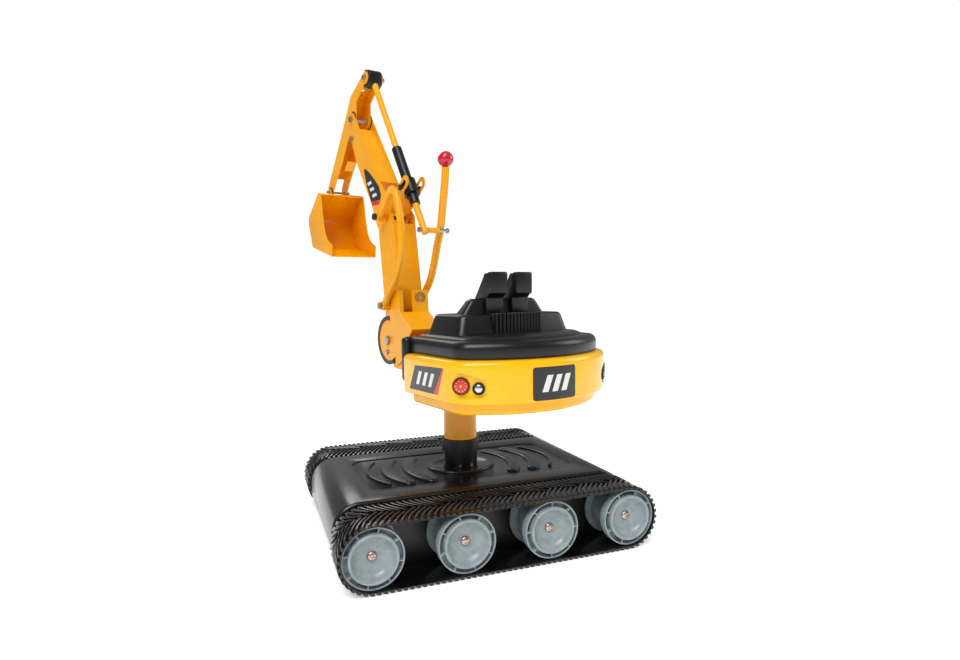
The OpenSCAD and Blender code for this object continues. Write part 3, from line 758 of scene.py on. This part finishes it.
    def oval(self) -> bpy.types.Object:
        """The raised oval round the foot of the post."""
        outline = [(x, y * 0.86) for x, y in arc((0, 0), 57.0, 0, 352.5, 47)]
        foot, crest = self.deck_mm - self.ridge_root_mm, self.deck_mm + self.ridge_rise_mm
        ring = layer("oval", outline, foot, crest)
        soften(ring, 1, 2.6, 4)
        pick(ring, lambda centre, normal: normal.z > 0.98 and centre.length < 97 * MM)
        bpy.ops.mesh.inset(thickness=7 * MM)
        bpy.ops.mesh.inset(thickness=2.4 * MM, depth=-1.6 * MM)
        leave_edit()
        return ring

    def panel(self) -> bpy.types.Object:
        """A rounded rectangle as deep as the sunk middle of the cover."""
        corner, long_mm, wide_mm = 26.0, self.panel_half_mm, self.panel_wide_mm
        outline: list[Point] = []
        for cx, cy, start in ((1, 1, 90), (1, -1, 0), (-1, -1, -90), (-1, 1, -180)):
            centre = (cx * (long_mm - corner), cy * (wide_mm - corner))
            outline += arc(centre, corner, start, start - 90, 8)
        return layer("panel", outline, self.deck_mm - self.panel_sink_mm, self.deck_mm + 4)

    def cover(self) -> None:
        """The glossy moulded cover with its sunk panel and raised curved bands."""
        ends = self.cover_end_mm - self.cover_round_mm
        crown = self.deck_mm - self.cover_round_mm
        profile = [(-self.cover_end_mm, self.cover_foot_mm)]
        profile += arc((-ends, crown), self.cover_round_mm, 180, 90, 18)
        profile += arc((ends, crown), self.cover_round_mm, 90, 0, 18)
        profile += [(self.cover_end_mm, self.cover_foot_mm)]
        half = self.deck_half_mm * MM
        hood = slab("hood", [(x * MM, -half, z * MM) for x, z in profile], (0, 2 * half, 0))
        round_edges(hood, 4.5, 4, 60)
        carve(hood, self.panel())
        round_edges(hood, 0.9, 2, 50)
        bands = [self.ridge(near, far, side) for near, far in self.ridges_mm for side in (-1, 1)]
        whole = join("chassis_cover_hood", [hood, self.oval(), *bands])
        self.shop.hand_over(
            whole, Look.COVER_BLACK, Body.BASE, ["chassis_cover"], "cover_black", self.shop.base
        )

    def build(self) -> None:
        """Makes every piece of the undercarriage."""
        self.tracks()
        self.rollers()
        self.cover()


@dataclass
class SeatBody:
    """The yellow shell, the black seat moulding on it, the lamps and the stickers."""

    shop: Workshop
    half_mm: float = 137.0
    rear_mm: float = 184.0
    corner_mm: float = 44.0
    middle_mm: float = -74.0
    front_mm: float = -66.0
    lip_inset_mm: float = 12.0
    shell_mm: tuple[float, float, float] = (223.0, 239.0, 296.0)
    brim_mm: float = 324.0
    hood_mm: float = 352.0
    lamp_corner_mm: tuple[float, float] = (119.5, -213.3)
    lamp_turn: float = 42.4
    lamp_apart_mm: float = 11.5
    red_lamp_mm: float = 264.0
    clear_lamp_mm: float = 261.0

    def plan(self, inset: float, front: float) -> list[tuple[float, float]]:
        """Plan outline of the shell in millimetres, shrunk by an inset."""
        half, rear, corner = self.half_mm - inset, self.rear_mm - inset, self.corner_mm - inset
        side = half - corner
        back = self.middle_mm - math.sqrt((rear - corner) ** 2 - side * side)
        turn = math.degrees(math.atan2(back - self.middle_mm, -side))
        return [
            (-half, front), *arc((-side, back), corner, -180, turn, 10),
            *arc((0, self.middle_mm), rear, turn, -180 - turn, 40)[1:-1],
            *arc((side, back), corner, -180 - turn, 0, 10), (half, front),
        ]

    def on_corner(self, side: int, along: float, height: float, stand: float) -> Matrix:
        """Frame of a lamp on a rear corner, its Z axis pointing out of the shell."""
        return (
            Matrix.Translation((side * self.lamp_corner_mm[0] * MM, self.lamp_corner_mm[1] * MM, height * MM))
            @ Matrix.Rotation(math.radians(side * self.lamp_turn), 4, "Z")
            @ Matrix.Translation((side * along * MM, -stand * MM, 0))
            @ Matrix.Rotation(math.radians(90), 4, "X")
        )

    def teardrop(self, side: int, grow: float, low: float, high: float) -> bpy.types.Object:
        """A solid teardrop round both lamps of a rear corner."""
        apart, lift = self.lamp_apart_mm, self.red_lamp_mm - self.clear_lamp_mm
        big, small = 15.0 + grow, 11.0 + grow
        span = math.hypot(2 * apart, lift)
        lean = math.degrees(math.atan2(lift, 2 * apart))
        open_angle = math.degrees(math.acos((big - small) / span))
        outline = arc((apart, lift / 2), big, lean - (180 - open_angle), lean + 180 - open_angle, 24)
        outline += arc((-apart, -lift / 2), small, lean + 180 - open_angle, lean + 180 + open_angle, 16)
        solid = layer("teardrop", [(side * x, y) for x, y in outline], low, high)
        middle = (self.red_lamp_mm + self.clear_lamp_mm) / 2
        settle(solid, self.on_corner(side, 0, middle, 0))
        return solid

    def shell(self) -> None:
        """The glossy yellow shell with its set-in lip and lamp recesses."""
        low, step, top = self.shell_mm
        band = layer("shell_band", self.plan(0, self.front_mm), step, top)
        soften(band, 1, 8.0)
        soften(band, -1, 3.0, 4)
        lip = layer("shell_lip", self.plan(self.lip_inset_mm, self.front_mm - 5), low, step + 3)
        soften(lip, -1, 6.0)
        for side in (-1, 1):
            carve(band, self.teardrop(side, 1.6, -2.2, 8))
        round_edges(band, 1.0, 3, 50)
        whole = join("shell_moulding", [band, lip])
        self.shop.hand_over(
            whole, Look.SHELL_YELLOW, Body.SEAT, ["lower_shell"], "shell_yellow", self.shop.seat
        )

    def block(
        self, name: str, foot: tuple[float, ...], top: tuple[float, ...], radius_mm: float,
        corner_mm: float = 10.0,
    ) -> bpy.types.Object:
        """A tapered block given as half width, back, front and height at its foot and top."""
        half, back, front, low = foot
        piece = slab(
            name, [(-half * MM, back * MM, low * MM), (half * MM, back * MM, low * MM),
                   (half * MM, front * MM, low * MM), (-half * MM, front * MM, low * MM)],
            (0, 0, (top[3] - low) * MM),
        )
        pick(piece, lambda centre, normal: normal.z > 0.9)
        middle = (back + front) / 2 * MM
        bpy.ops.transform.resize(
            value=(top[0] / half, (top[2] - top[1]) / (front - back), 1),
            center_override=(0, middle, top[3] * MM),
        )
        bpy.ops.transform.translate(value=(0, (top[1] + top[2]) / 2 * MM - middle, 0))
        leave_edit()
        if corner_mm:
            pick(piece, lambda centre, normal: abs(normal.z) < 0.8)
            bpy.ops.mesh.select_mode(type="EDGE")
            leave_edit()
            for edge in piece.data.edges:
                ends = [piece.data.vertices[v].co for v in edge.vertices]
                edge.select = abs(ends[0].z - ends[1].z) > 2 * MM
            only(piece)
            bpy.context.tool_settings.mesh_select_mode = (False, True, False)
            for part in (piece.data.vertices, piece.data.polygons):
                part.foreach_set("select", [False] * len(part))
            bpy.ops.object.mode_set(mode="EDIT")
            bpy.ops.mesh.bevel(offset=corner_mm * MM, segments=6, affect="EDGES", clamp_overlap=True)
            leave_edit()
        soften(piece, 1, radius_mm)
        return piece

    def tower(self, side: int) -> bpy.types.Object:
        """One of the two upright pads of the seat's back."""
        post = slab(
            "tower", side_view([
                (-98, self.hood_mm - 6), (-106, 376), (-126, 404), (-130, 411), (-144, 411),
                (-144, 381), (-137, 375), (-137, self.hood_mm - 6)], side * 7.5), (side * 31 * MM, 0, 0)
        )
        round_edges(post, 2.6, 4, 25)
        pad = slab(
            "pad", side_view([(-136, 380), (-148, 380), (-148, 412.6), (-136, 412.6)], side * 7.5),
            (side * 30.5 * MM, 0, 0)
        )
        round_edges(pad, 3.2, 4, 25)
        return join("tower", [post, pad])

    def ribs(self) -> list[bpy.types.Object]:
        """The upright ribs of the finger grip behind the towers."""
        rows = 14
        pitch = 84.0 / rows
        made = []
        outline = [(-0.42 * pitch, 3.0), *arc((0, -0.6), 0.42 * pitch, 180, 360, 8), (0.42 * pitch, 3.0)]
        rib = layer("rib", outline, 0, 33)
        soften(rib, 1, 1.3, 3)
        for i in range(rows):
            x = -42 + pitch * (i + 0.5)
            bow = 4.0 * (1 - (x / 42) ** 2)
            made.append(copy_of(rib, "rib", Matrix.Translation((x * MM, (-160.5 - bow) * MM, 321 * MM))))
        drop(rib)
        return made

    def moulding(self) -> None:
        """The satin black seat: brim, hood, towers, wings, finger grip, saddle and apron."""
        top = self.shell_mm[2]
        brim = layer("brim", self.plan(self.lip_inset_mm, -50), top - 1, self.brim_mm - 4)
        soften(brim, 1, 11.0, 8)
        soften(brim, -1, 4.0, 4)
        rise = layer("rise", self.plan(self.lip_inset_mm + 10, -52), self.brim_mm - 12, self.brim_mm + 2)
        pick(rise, lambda centre, normal: normal.z > 0.9)
        bpy.ops.transform.resize(value=(0.85, 0.86, 1), center_override=(0, -120 * MM, self.brim_mm * MM))
        leave_edit()
        soften(rise, 1, 9.0)
        hood = self.block(
            "hood", (101, -161, -66, self.brim_mm - 3), (92, -154, -74, self.hood_mm), 4.5, 12.0
        )
        wings = self.block("wings", (76, -131, -104, self.hood_mm - 3), (58, -129, -112, 374), 7.0, 6.0)
        grip = self.block("grip", (41, -160, -136, 318), (43, -158, -136, self.hood_mm + 1), 2.0, 4.0)
        saddle = self.block("saddle", (70, -60, 78, 262), (62, -60, 66, 306), 10.0, 9.0)
        apron = slab(
            "apron", side_view([(-65, 252), (-48, 252), (-48, 319), (-65, 319)], -self.half_mm + 3),
            (2 * (self.half_mm - 3) * MM, 0, 0)
        )
        round_edges(apron, 7.0, 6, 40)
        parts = [brim, rise, hood, wings, grip, saddle, apron, self.tower(-1), self.tower(1), *self.ribs()]
        whole = join("seat_moulding", parts)
        self.shop.hand_over(whole, Look.SEAT_BLACK, Body.SEAT, ["seat_shell"], "seat_black", self.shop.seat)

    def lamps(self) -> None:
        """A dotted red reflector and a small clear lamp on each rear corner."""
        bezels, reds, dots, clears = [], [], [], []
        for side in (-1, 1):
            red = self.on_corner(side, self.lamp_apart_mm, self.red_lamp_mm, -2.3)
            clear = self.on_corner(side, -self.lamp_apart_mm, self.clear_lamp_mm, -2.3)
            for place, radius in ((red, 11.4), (clear, 8.2)):
                ring = disc("bezel", radius, 3.4, place)
                out = place.to_3x3() @ Vector((0, 0, 1))
                pick(ring, lambda centre, normal, out=out: normal.dot(out) > 0.9)
                bpy.ops.mesh.inset(thickness=1.7 * MM)
                bpy.ops.mesh.extrude_region_move(
                    TRANSFORM_OT_translate={"value": place.to_3x3() @ Vector((0, 0, -1.2 * MM))}
                )
                leave_edit()
                round_edges(ring, 0.4, 2, 40)
                bezels.append(ring)
            reds.append(disc("reflector", 9.6, 3.0, place=red))
            clears.append(self.dome("clear_lamp", 4.8, clear @ Matrix.Translation((0, 0, 1.6 * MM))))
            for i in range(10):
                turn = Matrix.Rotation(math.radians(36 * i), 4, "Z")
                spot = red @ turn @ Matrix.Translation((6.7 * MM, 0, 2.3 * MM))
                dots.append(disc("dot", 0.85, 1.0, spot, 12))
            dots.append(disc("dot", 1.6, 1.0, red @ Matrix.Translation((0, 0, 2.3 * MM)), 20))
        for piece in reds:
            round_edges(piece, 0.6, 3, 40)
        give = self.shop.hand_over
        give(
            join("tail_reflectors", reds), Look.LAMP_RED, Body.SEAT, ["tail_lamps"], "lamp_red",
            self.shop.seat,
        )
        give(join("reflector_dots", dots), Look.LAMP_DOT, Body.SEAT, (), None, self.shop.seat)
        give(join("lamp_bezels", bezels), Look.NYLON_BLACK, Body.SEAT, (), None, self.shop.seat)
        give(
            join("clear_lamps", clears), Look.CHROME, Body.SEAT, ["work_lamps"], "lamp_silver", self.shop.seat
        )

    def dome(self, name: str, radius_mm: float, place: Matrix) -> bpy.types.Object:
        """A shallow dome on a place."""
        cap = disc(name, radius_mm, 1.2, Matrix())
        pick(cap, lambda centre, normal: normal.z > 0.9)
        for step in (0.86, 0.78, 0.6, 0.4):
            bpy.ops.mesh.extrude_region_move(TRANSFORM_OT_translate={"value": (0, 0, 0.42 * step * MM)})
            bpy.ops.transform.resize(value=(step, step, 1), center_override=(0, 0, 0))
        leave_edit()
        settle(cap, place)
        return cap

    def sticker(self, name: str, outline: list[Point], x: float, thick: float = 0.35) -> bpy.types.Object:
        """A thin sticker on a left flank, outlined by [y, z] points in millimetres."""
        return slab(name, side_view(outline, x), (-thick * MM, 0, 0))

    def stickers(self) -> None:
        """Plain black stickers with a red stripe and three pale bars, free of any lettering."""
        give, seat = self.shop.hand_over, self.shop.seat
        flank = -self.half_mm + 0.05
        black = self.sticker("flank", [(-100, 282), (-175, 284.9), (-151, 247.6), (-83, 247)], flank)
        red = self.sticker("stripe", [(-175, 284.9), (-178, 285), (-162, 248), (-151, 247.6)], flank)
        inner, outer = self.rear_mm - 1.0, self.rear_mm + 0.35
        left, right = -47.0, 22.0
        angles = [math.degrees(math.asin(x / self.rear_mm)) - 90 for x in (left - 2, right + 2)]
        outline = arc((0, self.middle_mm), outer, *angles, 16)
        outline += arc((0, self.middle_mm), inner, *angles[::-1], 16)
        wrap = layer("rear_sticker", outline, 241, 287)
        frame_mm: list[Point] = []
        for cx, cz, start in ((right, 286, 90), (right, 242, 0), (left, 242, -90), (left, 286, -180)):
            centre = (cx - math.copysign(4, cx), cz - math.copysign(4, cz - 264))
            frame_mm += arc(centre, 4, start, start - 90, 6)
        cut_from, cut_run = -300 * MM, (0, 120 * MM, 0)
        cutter = slab("frame", [(x * MM, cut_from, z * MM) for x, z in frame_mm], cut_run)
        carve(wrap, cutter, "INTERSECT")
        bars, rear_bars = [], []
        wide = arc((0, self.middle_mm), outer + 0.12, *angles, 16)
        wide += arc((0, self.middle_mm), inner, *angles[::-1], 16)
        for i in range(3):
            y = -146 + 17 * i
            side_mm = [(y, 275), (y - 8, 275), (y + 1, 256), (y + 9, 256)]
            bars.append(self.sticker("bar", side_mm, flank, 0.45))
            x = -34 + 15 * i
            corners_mm = ((x, 253), (x + 9, 253), (x + 17, 275), (x + 8, 275))
            cutter = slab("bar", [(px * MM, cut_from, pz * MM) for px, pz in corners_mm], cut_run)
            shape = layer("bar_wrap", wide, 241, 287)
            carve(shape, cutter, "INTERSECT")
            rear_bars.append(shape)
        give(join("black_stickers", [black, wrap]), Look.VINYL_BLACK, Body.SEAT, (), None, seat)
        give(join("red_stripe", [red]), Look.VINYL_RED, Body.SEAT, (), None, seat)
        give(join("pale_bars", bars + rear_bars), Look.VINYL_PALE, Body.SEAT, (), None, seat)

    def build(self) -> None:
        """Makes every piece of the seat body."""
        self.shell()
        self.moulding()
        self.lamps()
        self.stickers()


@dataclass
class Arm:
    """Bent tubes, the ball, the boom's sticker and the bracket's badge."""

    shop: Workshop
    tube_mm: float = 7.0
    handle_x_mm: float = -38.0
    lever_x_mm: float = 38.0
    axle_mm: tuple[float, float] = (200.0, 358.0)
    elbow_mm: tuple[float, float] = (216.0, 525.0)
    ball_mm: tuple[float, float, float] = (38.0, 97.0, 620.0)
    ball_radius_mm: float = 14.2
    upper_plate_mm: float = 20.5

    def across(self, name: str, spot: Point, start: float, end: float, radius: float) -> bpy.types.Object:
        """A round bar across the arm between two x places, rounded at its ends."""
        place = Matrix.Translation((start * MM, spot[0] * MM, spot[1] * MM)) @ Matrix.Rotation(
            math.radians(90), 4, "Y"
        )
        bar = disc(name, radius, end - start, place, 32)
        round_edges(bar, 1.6, 4, 50)
        return bar

    def handle(self) -> None:
        """The fixed grab handle on the left."""
        x = self.handle_x_mm
        line = [(200, 358), (181, 380), (150, 408), (135, 430), (127, 462), (127, 497), (133, 530),
                (141, 553),
                (151, 566), (163, 568), (176, 560), (192, 544), (216, 525)]
        pieces = [tube("handle", [(x, y, z) for y, z in line], self.tube_mm)]
        pieces.append(self.across("foot", self.axle_mm, x - 6.5, -30.5, 8.6))
        pieces.append(self.across("top", self.elbow_mm, x - 6.5, -24, 8.6))
        whole = join("grab_handle_tube", pieces)
        self.shop.hand_over(
            whole, Look.POWDER_YELLOW, Body.BOOM, ["grab_handle"], "painted_yellow", self.shop.seat
        )

    def lever(self) -> None:
        """The work lever on the right and its red ball."""
        x = self.lever_x_mm
        line = [(200, 358), (181, 381), (160, 404), (145, 432), (133, 463), (119, 497), (109, 540),
                (101, 578),
                (97, 606)]
        pieces = [tube("lever", [(x, y, z) for y, z in line], self.tube_mm)]
        pieces.append(self.across("foot", self.axle_mm, 30.5, x + 7.9, 8.2))
        whole = join("work_lever_tube", pieces)
        self.shop.hand_over(
            whole, Look.POWDER_YELLOW, Body.LEVER, ["lever_tube"], "painted_yellow", self.shop.seat
        )
        bpy.ops.object.select_all(action="DESELECT")
        bpy.ops.mesh.primitive_uv_sphere_add(segments=48, ring_count=32, radius=self.ball_radius_mm * MM)
        ball = named("lever_ball")
        pick(ball, lambda centre, normal: normal.z < -0.9)
        bpy.ops.transform.resize(value=(1, 1, 0.2), center_override=(0, 0, -13 * MM))
        leave_edit()
        place = Matrix.Translation(Vector(self.ball_mm) * MM)
        self.shop.hand_over(
            ball, Look.KNOB_RED, Body.LEVER, ["lever_knob"], "knob_red", self.shop.seat @ place
        )

    def sticker(self) -> None:
        """The leaf-shaped black sticker with a red tip on the upper boom's left plate."""
        x = -self.upper_plate_mm
        leaf = [
            (319, 629), (313, 632), (298, 624), (271, 605), (251, 588), (242, 571), (246, 562), (286, 562),
            (305, 594)
        ]
        tip = [(286, 561.4), (247, 561.4), (252, 554), (283, 554)]
        black = slab("boom_sticker", side_view(leaf, x), (-0.35 * MM, 0, 0))
        red = slab("boom_stripe", side_view(tip, x), (-0.35 * MM, 0, 0))
        bars = []
        for i in range(3):
            y, z = 266 + 11 * i, 572 + 13 * i
            bar = [(y - 6, z), (y + 12, z - 2), (y + 16, z + 4), (y - 2, z + 6)]
            bars.append(slab("bar", side_view(bar, x), (-0.45 * MM, 0, 0)))
        give, seat = self.shop.hand_over, self.shop.seat
        give(black, Look.VINYL_BLACK, Body.BOOM, (), None, seat)
        give(red, Look.VINYL_RED, Body.BOOM, (), None, seat)
        give(join("boom_bars", bars), Look.VINYL_PALE, Body.BOOM, (), None, seat)

    def badge(self) -> None:
        """The round badge on the bracket's right rear flange."""
        place = Matrix.Translation((13 * MM, 154.4 * MM, 373 * MM))
        place = place @ Matrix.Rotation(math.radians(94), 4, "X")
        face = disc("badge_face", 10.4, 0.5, place, 48)
        rings = []
        for radius in (9.6, 7.0, 4.4):
            bpy.ops.object.select_all(action="DESELECT")
            bpy.ops.mesh.primitive_torus_add(
                major_segments=40, minor_segments=8, major_radius=radius * MM, minor_radius=0.5 * MM
            )
            ring = named("badge_ring")
            settle(ring, place @ Matrix.Translation((0, 0, 0.4 * MM)))
            rings.append(ring)
        self.shop.hand_over(face, Look.BADGE, Body.BOOM, (), None, self.shop.seat)
        self.shop.hand_over(
            join("badge_rings", rings), Look.VINYL_BLACK, Body.BOOM, (), None, self.shop.seat
        )

    def head(self) -> None:
        """The rounded black block that the push rod enters at the stick's top."""
        block = slab(
            "head", side_view([(297, 798), (296, 819), (303, 826), (318, 831), (336, 813), (330, 799),
            (312, 791)],
                              -14.8), (29.6 * MM, 0, 0)
        )
        round_edges(block, 3.0, 4, 25)
        self.shop.hand_over(
            block, Look.NYLON_BLACK, Body.STICK, ["stick_head"], "black_plastic", self.shop.seat
        )

    def closing_plates(self) -> None:
        """The folded web that closes the lower boom's foot, and a small bolt under each cheek's pivot."""
        fold = [(167, 390), (172, 352), (183, 338), (185, 339), (174, 353), (169, 390)]
        web = slab("web", side_view(fold, -23.3), (46.6 * MM, 0, 0))
        round_edges(web, 0.5, 2, 30)
        self.shop.hand_over(web, Look.POWDER_YELLOW, Body.BOOM, (), None, self.shop.seat)
        heads = []
        for start, end in ((-34.5, -29.5), (29.5, 34.5)):
            heads.append(self.across("bolt", (207, 269.5), start, end, 4.2))
        self.shop.hand_over(join("small_bolts", heads), Look.ZINC, Body.BOOM, (), None, self.shop.seat)

    def build(self) -> None:
        """Makes every piece of the arm."""
        self.head()
        self.closing_plates()
        self.handle()
        self.lever()
        self.sticker()
        self.badge()


@dataclass
class Scoop:
    """The bent-sheet bucket with its two lugs and its waved digging edge."""

    shop: Workshop
    half_mm: float = 52.0
    sheet_mm: float = 2.0
    lug_mm: float = 20.8
    pin_mm: tuple[float, float] = (511.0, 609.0)
    lip_mm: tuple[float, float] = (428.0, 460.0)
    waves: int = 6

    def plate(self, name: str, outline: list[Point], x: float, thick: float) -> bpy.types.Object:
        """A plate across the arm, its left face at x, outlined by [y, z] points."""
        return slab(name, side_view(outline, x), (thick * MM, 0, 0))

    def skin(self) -> bpy.types.Object:
        """The bent back and floor of the bucket, from its top edge to the digging edge."""
        lip_y, lip_z = self.lip_mm
        outer = [(485, 600.5), (491, 604.5), (498, 606), *arc((545, 546), 21, 48, -14, 8), (544, 487),
                (lip_y, lip_z)]
        inner = [(lip_y, lip_z + 2), (542.4, 489.4), *arc((545, 546), 19, -14, 48, 8), (497.6, 603.6),
                (492, 602.4),
                 (486.5, 598.8)]
        sheet = self.plate("skin", outer + inner, -self.half_mm + 1, 2 * self.half_mm - 2)
        notch = self.plate("notch", arc(self.pin_mm, 11.2, 0, 345, 23), -18.5, 37)
        carve(sheet, notch)
        round_edges(sheet, 0.5, 2, 50)
        return sheet

    def build(self) -> None:
        """Makes the bucket."""
        lip_y, lip_z = self.lip_mm
        front = [(425, 486), (436, 490), (448, 496.5), (458, 505), (466, 517), (471.5, 533), (476, 553),
                (480.5, 577),
                 (484, 597)]
        back = [(488, 603), (493, 605.5), (498, 606), *arc((545, 546), 21, 48, -14, 8), (544, 487)]
        outline = [(lip_y, lip_z), *front, *back]
        pieces = [self.skin()]
        for x in (-self.half_mm, self.half_mm - self.sheet_mm):
            cheek = self.plate("cheek", outline, x, self.sheet_mm)
            round_edges(cheek, 0.7, 3, 50)
            pieces.append(cheek)
        lug = [(497, 602.5), *arc(self.pin_mm, 10, 165, -35, 14), (514.5, 590), (500, 601)]
        for x in (-self.lug_mm, self.lug_mm - self.sheet_mm):
            ear = self.plate("ear", lug, x, self.sheet_mm)
            round_edges(ear, 0.6, 2, 50)
            pieces.append(ear)
        step = (2 * self.half_mm - 18) / (self.waves - 1)
        for i in range(self.waves):
            spot = ((9 - self.half_mm + i * step) * MM, (lip_y + 1.2) * MM, (lip_z + 0.2) * MM)
            wave = disc("wave", 4.2, 1.8, Matrix.Translation(spot), 24)
            round_edges(wave, 0.5, 2, 50)
            pieces.append(wave)
        whole = join("bucket_scoop", pieces)
        self.shop.hand_over(
            whole, Look.POWDER_YELLOW, Body.BUCKET, ["bucket"], "painted_yellow", self.shop.seat
        )


# ---------------------------------------------------------------- studio


@dataclass
class Studio:
    """Camera, lights and floor of the pale product studio."""

    shop: Workshop
    camera_from_post: Point = (-0.557415, -0.882369, 0.389754)
    right: Point = (0.826527, -0.562782, -0.011435)
    up: Point = (0.047066, 0.048851, 0.997697)
    lens_mm: float = 23.63
    room_glow: float = 0.3

    def camera(self) -> None:
        """Stands the camera where the toy is seen from its rear left corner."""
        data = bpy.data.cameras.new("studio_camera")
        data.lens = self.lens_mm
        data.sensor_width = 36
        data.clip_start = 0.05
        eye = bpy.data.objects.new("studio_camera", data)
        bpy.context.scene.collection.objects.link(eye)
        right, up = Vector(self.right), Vector(self.up)
        back = right.cross(up)
        turn = Matrix((right, up, back)).transposed().to_4x4()
        eye.matrix_world = self.shop.seat @ Matrix.Translation(self.camera_from_post) @ turn
        bpy.context.scene.camera = eye

    def lamp(self, name: str, place: Point, size: float, power: float, aim: Point = (0, 0, 0.3)) -> None:
        """Hangs one square soft box that points at the toy."""
        data = bpy.data.lights.new(name, "AREA")
        data.shape = "SQUARE"
        data.size = size
        data.energy = power
        box = bpy.data.objects.new(name, data)
        bpy.context.scene.collection.objects.link(box)
        away = Vector(place) - Vector(aim)
        box.matrix_world = Matrix.Translation(place) @ away.to_track_quat("Z", "Y").to_matrix().to_4x4()

    def sun(self, place: Point, power: float) -> None:
        """Adds one broad, even light that reaches the whole floor alike."""
        data = bpy.data.lights.new("ceiling_light", "SUN")
        data.angle = math.radians(35)
        data.energy = power
        ceiling = bpy.data.objects.new("ceiling_light", data)
        bpy.context.scene.collection.objects.link(ceiling)
        ceiling.matrix_world = Vector(place).to_track_quat("Z", "Y").to_matrix().to_4x4()

    def floor(self) -> None:
        """Lays a wide white floor under the tracks."""
        bpy.ops.object.select_all(action="DESELECT")
        bpy.ops.mesh.primitive_circle_add(vertices=96, radius=12, fill_type="NGON", location=(0, 0, -0.0002))
        ground = named("studio_floor")
        white = bpy.data.materials.new("studio_white")
        white.use_nodes = True
        shader = white.node_tree.nodes["Principled BSDF"]
        shader.inputs["Base Color"].default_value = (1, 1, 1, 1)
        shader.inputs["Roughness"].default_value = 0.8
        shader.inputs["Specular IOR Level"].default_value = 0.1
        shader.inputs["Emission Color"].default_value = (1, 1, 1, 1)
        shader.inputs["Emission Strength"].default_value = 0.4
        ground.data.materials.append(white)

    def build(self) -> None:
        """Sets up the whole studio."""
        self.camera()
        world = bpy.data.worlds.new("studio_world")
        bpy.context.scene.world = world
        world.use_nodes = True
        tree = world.node_tree
        seen = add_node(tree, "ShaderNodeLightPath", {}).outputs["Is Camera Ray"]
        glow = add_node(tree, "ShaderNodeMapRange", {"Value": seen}, in_To_Min=self.room_glow, in_To_Max=1.05)
        tree.nodes["Background"].inputs["Color"].default_value = (1, 1, 1, 1)
        tree.links.new(glow.outputs["Result"], tree.nodes["Background"].inputs["Strength"])
        self.sun((-1.0, -1.1, 2.3), 1.5)
        self.lamp("key_box", (-1.7, -1.3, 2.1), 0.9, 17)
        self.lamp("fill_box", (1.9, -1.0, 1.3), 1.1, 11)
        self.lamp("rear_box", (0.4, 2.2, 2.0), 1.2, 16)
        self.floor()
        view = bpy.context.scene.view_settings
        view.view_transform = "Standard"
        view.look = "None"


SOFT_EDGES_MM: dict[str, float] = {
    "foot_bracket": 0.7, "lower_boom": 0.9, "upper_boom": 0.9, "stick": 0.8, "rod_bracket": 0.6,
    "bucket": 0.7,
    "seat_frame": 1.0, "stick_head": 1.6, "guide_sleeve": 0.8, "finger_guards": 0.9, "push_rod": 0.5,
    "pillar": 0.8, "thrust_collar": 1.2, "column_tube": 0.6,
}


def dress_cad(shop: Workshop) -> None:
    """Gives every CAD node the finish of its material slot."""
    slots = {part["node"]: part["material_slot"] for part in shop.frame["record"]["subparts"]}
    for name, node in shop.frame["nodes"].items():
        look = SLOT_LOOKS[slots[name]]
        if not node.material_slots:
            node.data.materials.append(shop.palette[look])
        for slot in node.material_slots:
            slot.material = shop.palette[look]
        if name in SOFT_EDGES_MM:
            soften = node.modifiers.new("soft_edges", "BEVEL")
            soften.width = SOFT_EDGES_MM[name] * MM
            soften.segments = 2
            soften.limit_method = "ANGLE"
            soften.angle_limit = math.radians(35)
            soften.use_clamp_overlap = True


def corners(box: tuple[Point, Point]) -> list[list[float]]:
    """Turns a box into plain lists of numbers."""
    return [[float(v) for v in corner] for corner in box]


def main() -> None:
    """Builds the looks round the frame."""
    logging.basicConfig(level=logging.INFO, format="%(name)s %(message)s")
    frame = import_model()
    shop = Workshop(frame)
    dress_cad(shop)
    Studio(shop).build()
    Undercarriage(shop).build()
    SeatBody(shop).build()
    Arm(shop).build()
    Scoop(shop).build()


if __name__ == "__main__":
    main()
